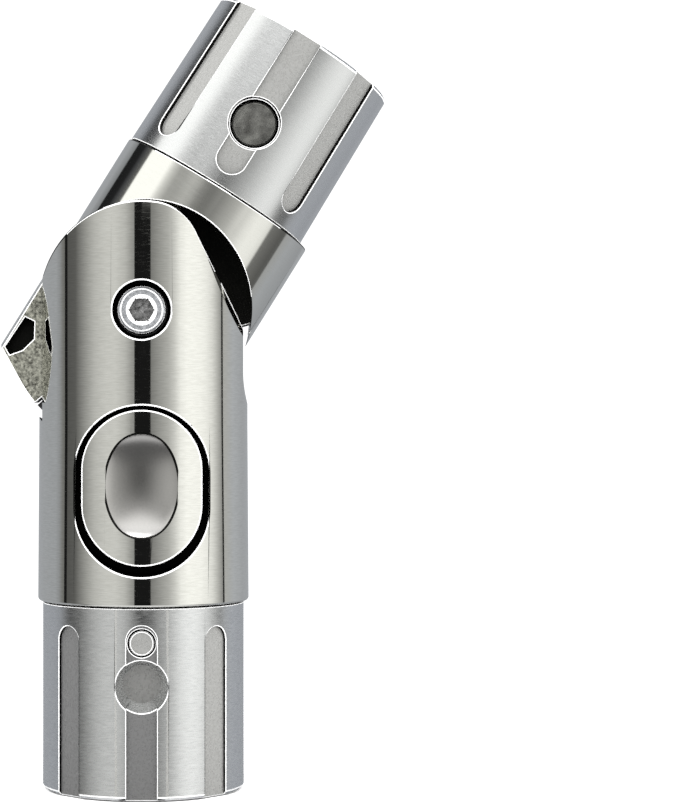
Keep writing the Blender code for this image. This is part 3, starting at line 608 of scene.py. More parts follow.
DIMPLE = metal("thumb_hollow", (0.45, 0.445, 0.435), (0.49, 0.48, 0.47), (0.28, 0.32), grain=3.0)
STEEL = metal("bright_steel", (0.60, 0.62, 0.65), (0.88, 0.90, 0.94), (0.16, 0.30), grain=1.2,
              grain_bump=0.008, metallic=0.8)
# painted shade: mottled dark grey inside the hex socket
SOCKET_SHADE = metal("painted_socket_shade", grey(0.10), grey(0.42), (0.25, 0.45), grain=1.5, grain_bump=0.02,
             metallic=0.6)
PLUG_FACE = metal("plug_face", (0.16, 0.16, 0.15), (0.34, 0.34, 0.32), (0.16, 0.3), grain=0.5,
                  grain_bump=0.01, metallic=0.8)
BLACKED = metal("spring_steel", (0.12, 0.12, 0.125), (0.2, 0.2, 0.21), (0.3, 0.42), grain=2.0,
                grain_bump=0.004)
BRONZE = metal("sintered_bronze", (0.50, 0.34, 0.16), (0.62, 0.45, 0.24), (0.3, 0.45), grain=3.0,
               grain_bump=0.01, speckle=0.6)


# ---------------------------------------------------------------- housing

def crown_outline():
    lean = math.radians(RELIEF_LEAN)
    across = Vector((math.cos(lean), math.sin(lean)))
    down = Vector((math.sin(lean), -math.cos(lean)))
    inset = across.dot(Vector(RELIEF_TOP)) - RELIEF_ROUND
    rise = math.sqrt((CHEEK_TOP_R - RELIEF_ROUND) ** 2 - inset ** 2)
    centre = across * inset - down * rise
    start = math.degrees(math.atan2(centre.y, centre.x))
    ease = [centre + Vector(point) for point in arc(RELIEF_ROUND, start, RELIEF_LEAN)]
    foot = ease[-1] + down * REACH
    floor = SHOULDER_Z - PIVOT_Z - REACH
    outline = [(-REACH, floor), (-REACH, 0)] + arc(CHEEK_TOP_R, 180, start)[:-1]
    outline += [tuple(point) for point in ease] + [tuple(foot), (REACH, foot.y), (REACH, floor)]
    return [(x, z + PIVOT_Z) for x, z in outline]


def slot_outline():
    floor = arc(SLOT_FLOOR_R, SLOT_LEFT_DEG, SLOT_RIGHT_DEG)
    left = [(-REACH, REACH), (-REACH, floor[0][1])]
    right = [(MOUTH_STEP_X, MOUTH_ROUND_Z - SLOT_HALF), (MOUTH_STEP_X, MOUTH_ROUND_Z),
             (REACH, MOUTH_ROUND_Z), (REACH, REACH)]
    return [(x, z + PIVOT_Z) for x, z in left + floor + right]


def housing():
    top = PIVOT_Z + CHEEK_TOP_R + OVER
    foot = [(HOUSING_FOOT_R - EDGE_ROUND + x, SHOULDER_Z + EDGE_ROUND + z)
            for x, z in arc(EDGE_ROUND, 0, -90, FOOT_STEP)]
    body = turned("housing_shell", [(0, top), (JOINT_R, top), (JOINT_R, HOUSING_DRAFT_Z)] + foot
                  + [(SOCKET_R, SHOULDER_Z), (SOCKET_R, SOCKET_TOP), (0, SOCKET_TOP)])
    carve(body, prism("crown", crown_outline(), -REACH, REACH, "Y"), operation="INTERSECT")
    pivot = (0, PIVOT_Z)
    carve(body,
          prism("slot", slot_outline(), -SLOT_HALF, SLOT_HALF, "Y"),
          rod("mouth", SLOT_HALF, MOUTH_STEP_X - OVER, REACH, "X", (0, PIVOT_Z + MOUTH_ROUND_Z)),
          box("cavity", (-MECHANISM_HALF_X, -SLOT_HALF, SOCKET_TOP - OVER),
              (MECHANISM_HALF_X, SLOT_HALF, PIVOT_Z - SLOT_FLOOR_R + 2 * OVER)),
          prism("window", obround(*WINDOW_HALF, WINDOW_Z), -REACH, POCKET_FLOOR_Y, "Y"),
          box("cam_window", (-CAM_HALF - GAP, POCKET_FLOOR_Y - OVER, CAM_LOW - GAP),
              (CAM_HALF + GAP, -SLOT_HALF + OVER, CAM_TOP + GAP)),
          rod("front_bore", COUNTERBORE_R, -REACH, FRONT_SEAT_Y, "Y", pivot),
          rod("rear_bore", COUNTERBORE_R, REAR_SEAT_Y, REACH, "Y", pivot),
          rod("sleeve", SLEEVE_R + GAP, SLEEVE_FRONT_Y - GAP, REAR_SEAT_Y + OVER, "Y", pivot),
          rod("shank", SHANK_R + GAP, FRONT_SEAT_Y - OVER, SLEEVE_FRONT_Y + OVER, "Y", pivot),
          rod("washer", WASHER_RECESS_R, -WASHER_RECESS_Y, WASHER_RECESS_Y, "Y", pivot))

    draft = (HOUSING_FOOT_R - JOINT_R) / (HOUSING_DRAFT_Z - SHOULDER_Z - EDGE_ROUND)

    # Chrome outside, on the crown and at the foot; painted shade, near black, on the slot, window,
    # bores and cavity inside.
    def zone(centre, normal):
        outer = math.hypot(centre.x, centre.y) > JOINT_R - 0.25
        high = centre.z > PIVOT_Z + 8 or centre.x > MOUTH_STEP_X
        upward = normal.z > -0.2 and abs(normal.y) < 0.2
        crown = abs(centre.y) > SLOT_HALF and upward and high
        return 0 if outer or crown or centre.z < SHOULDER_Z + 0.7 else 1

    def trim(centre, normal):
        """Painted shade round the crown, except where the edge faces the front, and painted
        highlight on every other rounded edge.
        """
        return 1 if centre.z > PIVOT_Z + 5 and normal.y > -0.62 else 2

    def mouth(middle):
        """The slot's open end at the left, whose edges stay sharp."""
        return middle.x < -14 and PIVOT_Z - 30 < middle.z < PIVOT_Z - 8

    finish_piece(body, "lower_housing", "base", [CHROME, PAINTED_SHADE, EDGE_HIGHLIGHT], zone,
                 [Round(JOINT_R),
                  Round(HOUSING_FOOT_R, taper=-draft, zero=SHOULDER_Z + EDGE_ROUND),
                  Round(CHEEK_TOP_R, "Y", (0, 0, PIVOT_Z))],
                 bevel=0.3, trim=trim, skip=mouth)


def push_button():
    body = prism("button_cap", obround(*BUTTON_HALF, BUTTON_Z), -REACH, BUTTON_BACK_Y, "Y")
    foot, top = FACE_CUT_Z
    carve(body, turned("face", [(0, foot), (JOINT_R, foot), (JOINT_R, top), (0, top)]),
          operation="INTERSECT")
    bm = bmesh.new()
    bmesh.ops.create_uvsphere(bm, u_segments=128, v_segments=64, radius=MM)
    bmesh.ops.scale(bm, vec=DIMPLE_RADII, verts=bm.verts)
    centre = Vector((0, DIMPLE_Y, DIMPLE_Z))
    hollow = as_object("hollow", bm, Matrix.Translation(centre * MM))
    low, high = CAM_BASE_Z
    carve(body, hollow,
          box("seat", (-CAM_BASE_HALF - GAP, CAM_BASE_Y - GAP, low - GAP),
              (CAM_BASE_HALF + GAP, BUTTON_BACK_Y + OVER, high + GAP)),
          *[rod(f"spring_{h}", SPRING_POCKET_R, SPRING_POCKET_Y, BUTTON_BACK_Y + OVER, "Y", (0, h))
            for h in BUTTON_SPRING_Z])
    surface = Ellipsoid(centre, DIMPLE_RADII)

    # Chrome outside, the thumb hollow's finish in the hollow, and painted shade, near black, on
    # the sides sunk in the window.
    def zone(point, _):
        if surface.on(point * MM):
            return 2
        return 0 if math.hypot(point.x, point.y) > JOINT_R - ZONE_SLACK else 1

    def trim(point, _):
        """Painted highlight round the outside of the button and painted shade round its hollow."""
        reach = BUTTON_HALF[1] - BUTTON_HALF[0]
        level = min(max(point.z - BUTTON_Z, -reach), reach)
        out = math.hypot(point.x, point.z - BUTTON_Z - level)
        return 3 if out > BUTTON_HALF[0] - 0.8 else 1

    finish_piece(body, "push_button", "button", [CHROME, PAINTED_SHADE, DIMPLE, EDGE_HIGHLIGHT],
                 zone, [Round(JOINT_R), surface], bevel=0.28, trim=trim)


# ---------------------------------------------------------------- spigots

def quadrant(wall, hub, turn):
    """A quarter of the hollow between the outer wall, two ribs and the hub."""
    rib_wall = math.degrees(math.asin(RIB_HALF / wall))
    outer = arc(wall, rib_wall, 90 - rib_wall, 3.0)
    inner = [(RIB_HALF, RIB_HALF)]
    if hub > RIB_HALF * math.sqrt(2):
        rib_hub = math.degrees(math.asin(RIB_HALF / hub))
        inner = arc(hub, 90 - rib_hub, rib_hub, 6.0)
    swing = Matrix.Rotation(math.radians(turn), 2)
    return [tuple(swing @ Vector(point)) for point in outer + inner]


def grooves(low, high, face_r, lean=0.0):
    """Cutters for the channel and two flutes on each side; low and high are (channel, flute)."""
    tools = []
    for back in (0, 180):
        for side in (-1, 0, 1):
            half = FLUTE_HALF if side else CHANNEL_HALF
            end, foot = (high[1], low[1]) if side else (high[0], low[0])
            outline = obround(half, (end - foot) / 2, (end + foot) / 2)
            tools.append(prism("groove", outline, -face_r - OVER, CHANNEL_DEPTH - face_r, "Y",
                               spin=back + side * FLUTE_ANGLE, lean=lean))
    return tools


def spigot_zone(radius_at):
    """Satin outside and on the end chamfer, groove floors, and painted shade, near black, for the
    rest.
    """
    def zone(point, normal):
        flat = point.to_2d()
        depth = radius_at(point.z) - flat.length
        outward = normal.to_2d().dot(flat.normalized())
        if depth < 0.05 or (depth < END_CHAMFER and 0.5 < outward < 0.9 and abs(normal.z) > 0.5):
            return 0
        return 1 if depth < CHANNEL_DEPTH + 0.4 and outward > 0.9 else 2
    return zone


def lower_spigot():
    body = turned("lower_plug", [(0, NECK_TOP), (NECK_R, NECK_TOP), (NECK_R, SPIGOT_TOP),
                                 (SPIGOT_R, SPIGOT_TOP), (SPIGOT_R, END_CHAMFER),
                                 (SPIGOT_R - END_CHAMFER, 0), (0, 0)])
    carve(body, *[prism("pocket", quadrant(QUADRANT_R, 0, turn), -OVER, QUADRANT_TOP)
                  for turn in (0, 90, 180, 270)])
    carve(body, rod("boss", RECESS_BOSS_R, *RECESS_BOSS_Y, "Y", (0, RECESS_Z)), operation="UNION")
    widen = (RECESS_R - RECESS_FLOOR_R) / (SPIGOT_R + RECESS_FLOOR_Y)
    mouth_y = -SPIGOT_R - OVER
    mouth_r = RECESS_FLOOR_R + widen * (RECESS_FLOOR_Y - mouth_y)
    carve(body,
          *grooves((-REACH, -REACH), (CHANNEL_TOP, FLUTE_TOP), SPIGOT_R),
          rod("recess", mouth_r, mouth_y, RECESS_FLOOR_Y, "Y", (0, RECESS_Z), RECESS_FLOOR_R),
          rod("pin_hole", PIN_SHANK_R + GAP, mouth_y, GAP - PIN_END, "Y", (0, PIN_Z)),
          rod("pin_seat", PIN_HEAD_R + GAP, mouth_y, GAP - PIN_HEAD_BACK, "Y", (0, PIN_Z)))
    plain = spigot_zone(lambda z: SPIGOT_R)

    def zone(point, normal):
        out = math.hypot(point.x, point.z - RECESS_Z)
        if out < RECESS_R + ZONE_SLACK and point.y < RECESS_FLOOR_Y + ZONE_SLACK:
            return 1 if normal.y < -0.95 else 0
        place = plain(point, normal)
        return 3 if place == 1 and point.x < 6 else place

    finish_piece(body, "lower_spigot", "base",
                 [SATIN, GROOVE, PAINTED_SHADE, CHANNEL, EDGE_HIGHLIGHT], zone, [Round(SPIGOT_R), Round(NECK_R)],
                 bevel=0.16)


def upper_spigot():
    foot = COLLAR_SOCKET_Z + GAP
    body = turned("upper_plug", [(0, UPPER_TOP), (UPPER_TOP_R - END_CHAMFER, UPPER_TOP),
                                 (UPPER_TOP_R, UPPER_TOP - END_CHAMFER),
                                 (UPPER_FOOT_R, UPPER_FOOT), (NECK_R, UPPER_FOOT), (NECK_R, foot),
                                 (0, foot)])
    carve(body, *[prism("pocket", quadrant(UPPER_WALL_R, UPPER_HUB_R, turn), UPPER_POCKET_Z,
                        UPPER_TOP + OVER) for turn in (0, 90, 180, 270)])
    hole = (0, CROSS_HOLE_Z)
    carve(body, rod("boss", CROSS_HOLE_R + CROSS_BOSS_WALL, OVER - UPPER_WALL_R - GROOVE_WALL,
                    OVER - UPPER_HUB_R, "Y", hole), operation="UNION")
    slope = (UPPER_TOP_R - UPPER_FOOT_R) / (UPPER_TOP - UPPER_FOOT)
    high = (UPPER_TOP + REACH, UPPER_TOP + REACH)
    carve(body,
          rod("hub_bore", HUB_BORE_R, HUB_SEAT_Z, UPPER_TOP + OVER),
          rod("hub_hole", SHANK_R + GAP, foot - OVER, HUB_SEAT_Z + OVER),
          *grooves((UPPER_CHANNEL_Z, UPPER_FLUTE_Z), high, UPPER_FOOT_R + 0.2, math.atan(slope)),
          rod("cross_hole", CROSS_HOLE_R, -REACH, CROSS_STEP_Y, "Y", hole),
          rod("plug_bore", PLUG_R + GAP, CROSS_STEP_Y - OVER, CROSS_HOLE_FLOOR_Y, "Y", hole))
    taper = (UPPER_TOP_R - UPPER_FOOT_R) / (UPPER_TOP - END_CHAMFER - UPPER_FOOT)
    plain = spigot_zone(lambda z: UPPER_FOOT_R + taper * (z - UPPER_FOOT))
    finish_piece(body, "upper_spigot", "head", [SATIN_HEAD, GROOVE, PAINTED_SHADE, EDGE_HIGHLIGHT],
                 plain, [Round(UPPER_FOOT_R, taper=taper, zero=UPPER_FOOT), Round(NECK_R)],
                 bevel=0.16, place=PLUG)


# ---------------------------------------------------------------- knuckle

def tongue_outline():
    slack = 0.05
    edge = polar(TAIL_R, TAIL_EDGE_DEG)
    slope = (TAIL_CORNER[1] - edge[1]) / (TAIL_CORNER[0] - edge[0])
    beyond = (-REACH, TAIL_CORNER[1] - slope * (REACH + TAIL_CORNER[0]))
    return ([(REACH, KNUCKLE_FOOT), (REACH, 0)] + arc(COLLAR_UNDER_R + slack, 0, TONGUE_ROOT_DEG)
            + arc(TONGUE_RIGHT_R, TONGUE_ROOT_DEG - 3, TONGUE_STEP_DEG)
            + arc(TONGUE_RIM_R, TONGUE_STEP_DEG, TAIL_STEP_DEG)
            + arc(TAIL_R, TAIL_STEP_DEG, TAIL_EDGE_DEG) + [beyond, (-REACH, KNUCKLE_FOOT)])


def knuckle():
    body = turned("collar_knuckle",
                  [(0, COLLAR_TOP), (JOINT_R, COLLAR_TOP), (JOINT_R, KNUCKLE_FOOT + OVER),
                   (0, KNUCKLE_FOOT + OVER)])
    under = ([(REACH, KNUCKLE_FOOT), (REACH, 0)] + arc(COLLAR_UNDER_R, 0, 180)
             + [(-REACH, 0), (-REACH, KNUCKLE_FOOT)])
    first, last = SECTOR_DEG[0] - 1, SECTOR_DEG[1] + 3
    groove = arc(SECTOR_IN_R - GAP, last, first) + arc(SLOT_FLOOR_R + OVER, first, last)
    beside = TONGUE_HALF + 0.1
    carve(body,
          rod("collar_socket", SOCKET_R, COLLAR_SOCKET_Z, COLLAR_TOP + OVER, at=(-PLUG_SHIFT, 0)),
          prism("front_room", under, -REACH, -TONGUE_HALF, "Y"),
          prism("rear_room", under, TONGUE_HALF, REACH, "Y"),
          prism("tongue", tongue_outline(), -beside, beside, "Y"),
          prism("sector_groove", groove, -SECTOR_GROOVE_HALF, SECTOR_GROOVE_HALF, "Y"),
          prism("tail_pocket", TAIL_POCKET, -TONGUE_HALF - OVER, TAIL_POCKET_FLOOR_Y, "Y"),
          rod("bush_hole", BUSH_R + GAP, -TONGUE_HALF - OVER, TONGUE_HALF + OVER, "Y"),
          *[rod("rivet", RIVET_R + GAP, -TONGUE_HALF - OVER, TONGUE_HALF + OVER, "Y",
                polar(RIVET_ORBIT_R, angle), steps=RIVET_STEPS) for angle in RIVET_DEG],
          solver="MANIFOLD")

    bm = bmesh.new()
    bm.from_mesh(body.data)
    bmesh.ops.bisect_plane(bm, geom=bm.verts[:] + bm.edges[:] + bm.faces[:],
                           plane_co=(SKIN_X * MM, 0, 0), plane_no=(1, 0, 0))
    bm.to_mesh(body.data)
    bm.free()

    # Chrome on the collar, cast skin on the tail, and painted shade, near black, on the tongue's
    # face right of SKIN_X and on the other inner faces.
    def zone(point, normal):
        under = math.hypot(point.x, point.z) > COLLAR_UNDER_R - 0.3 and point.z > 0
        if under or math.hypot(point.x, point.y) > JOINT_R - ZONE_SLACK:
            return 0
        if abs(normal.y) > 0.8 and abs(point.y) > TONGUE_HALF - ZONE_SLACK:
            return 2 if point.x < SKIN_X else 1
        tail = point.x < -14 and point.y > 0 and point.z < 0
        return 2 if tail and abs(normal.y) < 0.3 else 1

    def trim(_, normal):
        """Painted highlight where the edge faces the front and painted shade elsewhere."""
        return 1 if normal.y > -0.7 else 3

    finish_piece(body, "upper_knuckle", "head", [COLLAR, PAINTED_SHADE, SKIN, EDGE_HIGHLIGHT],
                 zone, [Round(JOINT_R, lean=COLLAR_LEAN),
                        Round(COLLAR_UNDER_R, "Y", hollow=True)],
                 bevel=0.22, place=HEAD, trim=trim)


# ---------------------------------------------------------------- small pieces

def screws_and_pins():
    at = (0, PIVOT_Z)
    screw = turned("pivot_cap_screw",
                   [(0, SCREW_TIP_Y), (SHANK_R, SCREW_TIP_Y), (SHANK_R, SCREW_HEAD_BACK_Y),
                    (SCREW_HEAD_R, SCREW_HEAD_BACK_Y), (SCREW_HEAD_R, SCREW_FACE_Y + HEAD_CHAMFER),
                    (SCREW_HEAD_R - HEAD_CHAMFER, SCREW_FACE_Y), (0, SCREW_FACE_Y)],
                   "Y", at, steps=HOLE_STEPS)
    sink_foot = SCREW_FACE_Y + SINK_R - HEX_R + 0.1
    before = SCREW_FACE_Y - OVER
    carve(screw, rod("hex", HEX_R, before, SCREW_FACE_Y + HEX_DEPTH, "Y", at, steps=6),
          rod("sink", SINK_R + OVER, before, sink_foot, "Y", at, HEX_R - 0.1))

    # Painted highlight on the sink's chamfer ring, painted shade inside the hex socket, and steel
    # elsewhere.
    def socket(point, normal):
        out = math.hypot(point.x, point.z - PIVOT_Z)
        if out < SINK_R and point.y < sink_foot and abs(normal.y) < 0.95:
            return 2
        return 1 if out < HEX_R + 0.05 and point.y > SCREW_FACE_Y + 0.3 else 0

    finish_piece(screw, "pivot_screw", "base", [STEEL, SOCKET_SHADE, EDGE_HIGHLIGHT], socket,
                 bevel=0.14)
    (inside, outside), (front, back) = LOCK_WASHER_R, LOCK_WASHER_Y
    washer = turned("split_washer",
                    [(outside, back), (outside, front), (inside, front), (inside, back)], "Y", at,
                    closed=True, steps=HOLE_STEPS)
    carve(washer, box("split", (-0.5, -14, PIVOT_Z + 1), (0.5, -11, PIVOT_Z + 6)))
    finish_piece(washer, "lock_washer", "base", [BLACKED, BLACKED], bevel=0.12)
    seat, bore = REAR_SEAT_Y + GAP, SHANK_R + GAP
    nut = turned("sleeve_nut",
                 [(0, NUT_FACE_Y), (NUT_HEAD_R - HEAD_CHAMFER, NUT_FACE_Y),
                  (NUT_HEAD_R, NUT_FACE_Y - HEAD_CHAMFER), (NUT_HEAD_R, seat), (SLEEVE_R, seat),
                  (SLEEVE_R, SLEEVE_FRONT_Y), (bore, SLEEVE_FRONT_Y), (bore, NUT_BORE_END_Y),
                  (0, NUT_BORE_END_Y)], "Y", at, steps=HOLE_STEPS)
    carve(nut, rod("hex", HEX_R, NUT_FACE_Y - HEX_DEPTH, NUT_FACE_Y + OVER, "Y", at, steps=6),
          rod("sink", HEX_R - 0.2, NUT_FACE_Y - 0.3, NUT_FACE_Y + OVER, "Y", at,
              HEX_R + 0.1 + OVER))
    finish_piece(nut, "barrel_nut", "base", [STEEL, EDGE_HIGHLIGHT], bevel=0.12)
    pin = turned("pin_head",
                 [(0, -PIN_END), (PIN_SHANK_R, -PIN_END), (PIN_SHANK_R, -PIN_HEAD_BACK),
                  (PIN_HEAD_R, -PIN_HEAD_BACK), (PIN_HEAD_R, 0.2 - PIN_FACE),
                  (PIN_HEAD_R - 0.2, -PIN_FACE), (0, -PIN_FACE)], "Y", (0, PIN_Z),
                 steps=HOLE_STEPS)
    finish_piece(pin, "spigot_pin", "base", [GROOVE, EDGE_HIGHLIGHT], bevel=0.08)
    plug = turned("cross_plug",
                  [(0, PLUG_BACK_Y), (PLUG_R, PLUG_BACK_Y), (PLUG_R, PLUG_FACE_Y + GAP),
                   (PLUG_R - GAP, PLUG_FACE_Y), (0, PLUG_FACE_Y)], "Y", (0, CROSS_HOLE_Z),
                  steps=HOLE_STEPS)
    finish_piece(plug, "cross_hole_plug", "head", [PLUG_FACE, PLUG_FACE],
                 bevel=0.1, place=PLUG)
    seat = HUB_SEAT_Z + GAP
    head_r, height, chamfer = SPIGOT_SCREW_HEAD
    bolt = turned("hub_screw",
                  [(0, seat + height), (head_r - chamfer, seat + height),
                   (head_r, seat + height - chamfer), (head_r, seat), (SHANK_R, seat),
                   (SHANK_R, SPIGOT_SCREW_END), (0, SPIGOT_SCREW_END)], steps=HOLE_STEPS)
    carve(bolt, rod("hex", HEX_R, seat + 1.2, seat + 6, steps=6))
    finish_piece(bolt, "spigot_screw", "head", [STEEL, EDGE_HIGHLIGHT], bevel=0.12,
                 place=PLUG)


def coil(name, radius, wire, low, high, turns, place):
    """A closed spring wire of round section, as one mesh."""
    count = turns * COIL_STEPS
    bm = bmesh.new()
    rows = []
    for i in range(count + 1):
        angle = 2 * math.pi * i / COIL_STEPS
        out = Vector((math.cos(angle), math.sin(angle), 0))
        centre = out * radius + Vector((0, 0, low + wire + (high - low - 2 * wire) * i / count))
        row = []
        for k in range(WIRE_SIDES):
            swing = 2 * math.pi * k / WIRE_SIDES
            point = centre + (out * math.cos(swing) + Vector((0, 0, 1)) * math.sin(swing)) * wire
            row.append(bm.verts.new(point * MM))
        rows.append(row)
    for first, second in zip(rows, rows[1:]):
        for k in range(WIRE_SIDES):
            m = (k + 1) % WIRE_SIDES
            bm.faces.new((first[k], first[m], second[m], second[k]))
    bm.faces.new(rows[0])
    bm.faces.new(rows[-1])
    return as_object(name, bm, place)


def springs():
    pawl = coil("pawl_coil", PAWL_SPRING_R, PAWL_WIRE_R, *PAWL_SPRING_Z, PAWL_TURNS,
                Matrix.Identity(4))
    finish_piece(pawl, "pawl_spring", "base", [STEEL, STEEL])
    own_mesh(pawl)
    front, back = SPRING_POCKET_Y + GAP, POCKET_FLOOR_Y - GAP
    for word, height in zip(("lower", "upper"), BUTTON_SPRING_Z):
        place = (Matrix.Translation((0, 0, height * MM))
                 @ Matrix.Rotation(math.radians(-90), 4, "X"))
        spring = coil(f"button_coil_{word}", BUTTON_SPRING_R, BUTTON_WIRE_R, front, back,
                      BUTTON_TURNS, place)
        finish_piece(spring, f"button_spring_{word}", "base", [STEEL, STEEL])
        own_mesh(spring)


def inner_nodes():
    """The pieces deep inside keep their modelled shape and get finished metals."""
    finishes = {"bright_steel": STEEL, "spring_steel": BLACKED, "bronze": BRONZE}
    for part in frame["record"]["subparts"]:
        obj = frame["nodes"].get(part["node"])
        if obj is None or obj.hide_render:
            continue
        obj.data.materials.clear()
        obj.data.materials.append(finishes[part["material_slot"]])


# ---------------------------------------------------------------- studio

# Directions are in degrees: a heading of 0 is towards the camera and 90 is to the right, and a
# rise is above level. A pair says where a change begins and where it is complete.
FRONT_BANDS = [(-180, 0.42), (-133, 0.46), (-111, 0.46), (-104, 0.38), (-98.5, 0.24),
               (-95, 0.20), (-91, 0.115), (-79, 0.14), (-69, 0.33), (-61, 0.49), (-54, 0.63),
               (-46, 0.72), (-39, 0.78), (-30, 0.79), (-19, 0.65), (-12, 0.43), (-9, 0.36),
               (9, 0.26), (14, 0.34), (28, 0.57), (35, 0.80), (42, 1.15), (50, 1.30),
               (66, 1.26), (74, 1.15), (82, 0.96), (91, 0.58), (97, 0.35), (99, 0.55),
               (118, 0.56), (140, 0.47), (180, 0.42)]
TILT_BANDS = [(-180, 0.30), (-154, 0.49), (-139, 0.36), (-132.5, 0.30), (-131, 0.015),
              (-115, 0.02), (-108, 0.08), (-97.5, 0.16), (-95.5, 1.40), (-57, 1.40),
              (-50, 0.90), (-45, 0.68), (-39, 0.47), (-31, 0.45), (-20, 0.55), (-14, 0.48),
              (-8, 0.30), (-2, 0.23), (3, 0.24), (13, 0.38), (35, 0.68), (47.5, 1.02),
              (55, 1.14), (66, 1.10), (73, 0.96), (75.5, 0.22), (94, 0.13), (100, 0.14),
              (101.5, 0.46), (117, 0.49), (145, 0.40), (180, 0.33)]
FRONT_TINT = (1.0, 1.0, 0.965)
REAR_TINT = (0.95, 0.985, 1.04)
REAR_HEADING = (99, 105)
STRIP_EDGE = (9.2, 8.4)
LEFT_LINE = (-95.6, -94.9, -91.3, -90.6)
RIGHT_LINE = (96.2, 96.8, 98.8, 99.4)
RIGHT_LINE_SLANT = 0.3
FLAG_LIGHT = 0.012
LEVEL_END = (4.45, 4.9)
LEFT_LIFT, LEFT_LIFT_MOST = -0.25, 20.0
RIGHT_LOW_RISE, RIGHT_LOW_HEADING = (-9.0, -12.0), (5.0, 25.0)
NEAR_SIDE = (70.0, 100.0)
FRONT_TOP_RISE, FRONT_TOP_SLOPE, FRONT_TOP_LIGHT = (12.5, 21.0), -0.5, (1.8, 1.8, 1.77, 1)
FRONT_LOW_RISE, FRONT_LOW_SLOPE, FRONT_LOW_LIGHT = (-9.5, -14.0), 0.35, (*grey(0.15), 1)
OVERHEAD_RISE, OVERHEAD_LIGHT = (44.0, 56.0), (*grey(1.3), 1)
UNDER_RISE, UNDER_LIGHT = (-48.0, -62.0), (*grey(1.0), 1)
BACKDROP_STRENGTH = 1.15
AMBIENT_STRENGTH = 2.6


def band_ramp(add, turn, bands):
    """Brightness by heading, warmer in front of the object and cooler behind it."""
    ramp = add("ShaderNodeValToRGB", {0: turn})
    stops = ramp.color_ramp.elements
    while len(stops) > 1:
        stops.remove(stops[-1])
    begin, end = REAR_HEADING
    for i, (angle, level) in enumerate(bands):
        stop = stops[0] if i == 0 else stops.new((angle + 180) / 360)
        stop.position = (angle + 180) / 360
        behind = min(1.0, max(0.0, (abs(angle) - begin) / (end - begin)))
        tint = Vector(FRONT_TINT).lerp(Vector(REAR_TINT), behind)
        stop.color = (*(tint * level), 1)
    return ramp.outputs[0]


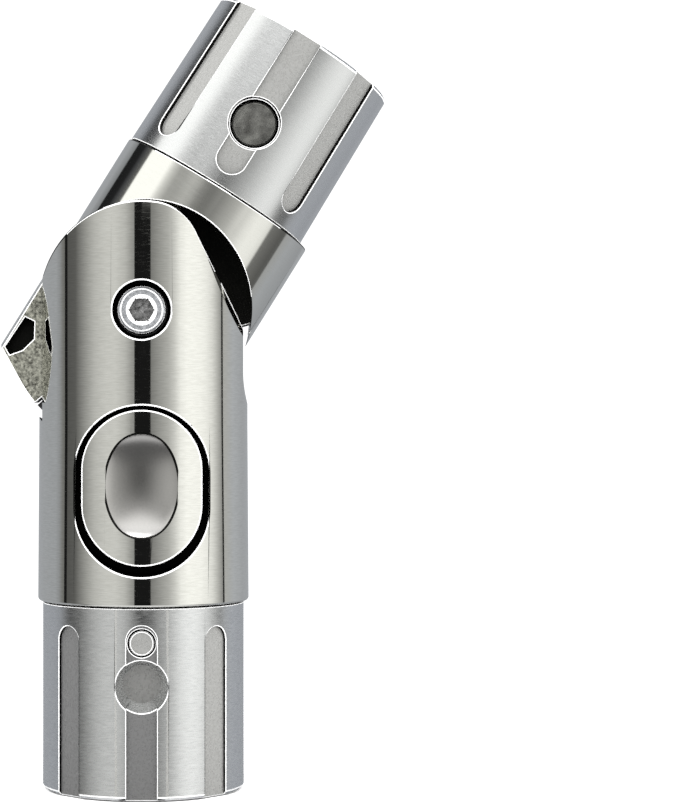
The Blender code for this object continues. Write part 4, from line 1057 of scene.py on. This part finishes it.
def studio_light():
    """Soft boxes and dark flags round the object, as brightness by direction."""
    world = bpy.data.worlds.new("studio")
    SCENE.world = world
    world.use_nodes = True
    add = new_nodes(world.node_tree)

    def maths(operation, *values):
        return add("ShaderNodeMath", dict(enumerate(values)), operation=operation).outputs[0]

    def step(value, low, high, first=0.0, last=1.0):
        levels = {0: value, 1: low, 2: high, 3: first, 4: last}
        return add("ShaderNodeMapRange", levels, interpolation_type="SMOOTHSTEP").outputs[0]

    def line(value, edges):
        return maths("MULTIPLY", step(value, *edges[:2]), step(value, *edges[:1:-1]))

    def blend(factor, first, second):
        return add("ShaderNodeMix", {0: factor, 6: first, 7: second}, data_type="RGBA").outputs[2]

    where = add("ShaderNodeTexCoord")
    x, y, z = add("ShaderNodeSeparateXYZ", {0: where.outputs["Generated"]}).outputs
    toward = maths("MULTIPLY", y, -1.0)
    heading = maths("MULTIPLY", maths("ARCTAN2", x, toward), 180 / math.pi)
    rise = maths("MULTIPLY", maths("ARCSINE", z), 180 / math.pi)
    turn = maths("ADD", maths("DIVIDE", heading, 360.0), 0.5)
    aside = maths("ABSOLUTE", heading)

    slanted = maths("ADD", heading, maths("MULTIPLY", rise, RIGHT_LINE_SLANT))
    lines = maths("MAXIMUM", line(heading, LEFT_LINE), line(slanted, RIGHT_LINE))
    flags = maths("MAXIMUM", step(aside, *STRIP_EDGE), lines)
    level = blend(flags, band_ramp(add, turn, FRONT_BANDS), (*grey(FLAG_LIGHT), 1))

    lift = maths("MAXIMUM", maths("MULTIPLY", heading, LEFT_LIFT), 0.0)
    lifted = maths("SUBTRACT", rise, maths("MINIMUM", lift, LEFT_LIFT_MOST))
    right_low = maths("MULTIPLY", step(rise, *RIGHT_LOW_RISE), step(heading, *RIGHT_LOW_HEADING))
    off_level = maths("MAXIMUM", step(lifted, *LEVEL_END), right_low)
    colour = blend(off_level, level, band_ramp(add, turn, TILT_BANDS))

    near = step(aside, *NEAR_SIDE, 1.0, 0.0)
    for rises, slope, light in ((FRONT_TOP_RISE, FRONT_TOP_SLOPE, FRONT_TOP_LIGHT),
                                (FRONT_LOW_RISE, FRONT_LOW_SLOPE, FRONT_LOW_LIGHT)):
        sloped = maths("ADD", rise, maths("MULTIPLY", aside, slope))
        colour = blend(maths("MULTIPLY", step(sloped, *rises), near), colour, light)
    for rises, light in ((OVERHEAD_RISE, OVERHEAD_LIGHT), (UNDER_RISE, UNDER_LIGHT)):
        colour = blend(step(rise, *rises), colour, light)

    rays = add("ShaderNodeLightPath").outputs
    shown = add("ShaderNodeBackground", {0: colour})
    for ray, strength in (("Is Camera Ray", BACKDROP_STRENGTH),
                          ("Is Diffuse Ray", AMBIENT_STRENGTH)):
        plain = add("ShaderNodeBackground", {0: (1, 1, 1, 1), 1: strength})
        shown = add("ShaderNodeMixShader", {0: rays[ray], 1: shown.outputs[0],
                                            2: plain.outputs[0]})
    add("ShaderNodeOutputWorld", {0: shown.outputs[0]})


def floor_and_lamp():
    """A pale disc just under the foot, kept out of reflections, and a soft lamp above."""
    bm = bmesh.new()
    bmesh.ops.create_circle(bm, cap_ends=True, segments=128, radius=0.42)
    floor = as_object("studio_floor", bm, Matrix.Translation((0, 0, -0.2 * MM)))
    mat = bpy.data.materials.new("pale_floor")
    mat.use_nodes = True
    add = new_nodes(mat.node_tree)
    noise = add("ShaderNodeTexNoise", {"Scale": 40.0})
    tone = add("ShaderNodeValToRGB", {0: noise.outputs["Fac"]})
    for stop, level in zip(tone.color_ramp.elements, (0.90, 0.93)):
        stop.color = (*grey(level), 1)
    shader = add("ShaderNodeBsdfPrincipled", {"Base Color": tone.outputs[0], "Roughness": 0.9,
                                              "Specular IOR Level": 0.0})
    add("ShaderNodeOutputMaterial", {0: shader.outputs[0]})
    floor.data.materials.append(mat)
    floor.visible_glossy = False
    data = bpy.data.lights.new("overhead_softbox", "AREA")
    data.shape = "DISK"
    data.size = 0.5
    data.energy = 4.0
    lamp = bpy.data.objects.new("overhead_softbox", data)
    lamp.location = (0.05, -0.1, 0.9)
    SCENE.collection.objects.link(lamp)


def camera():
    """Level with the middle of the bracket and a little to its right, 0.46 m in front of it."""
    data = bpy.data.cameras.new("camera")
    data.sensor_width = 36.0
    data.lens = 111.2
    data.shift_x = 0.1855
    data.shift_y = -0.0004
    data.clip_start = 0.01
    data.dof.use_dof = False
    obj = bpy.data.objects.new("camera", data)
    obj.location = (0.0085, -0.455, 0.070)
    obj.rotation_euler = (math.radians(90), 0, 0)
    SCENE.collection.objects.link(obj)
    SCENE.camera = obj
    SCENE.view_settings.view_transform = "Standard"
    SCENE.view_settings.look = "None"


housing()
push_button()
lower_spigot()
knuckle()
upper_spigot()
screws_and_pins()
springs()
inner_nodes()
studio_light()
floor_and_lamp()
camera()
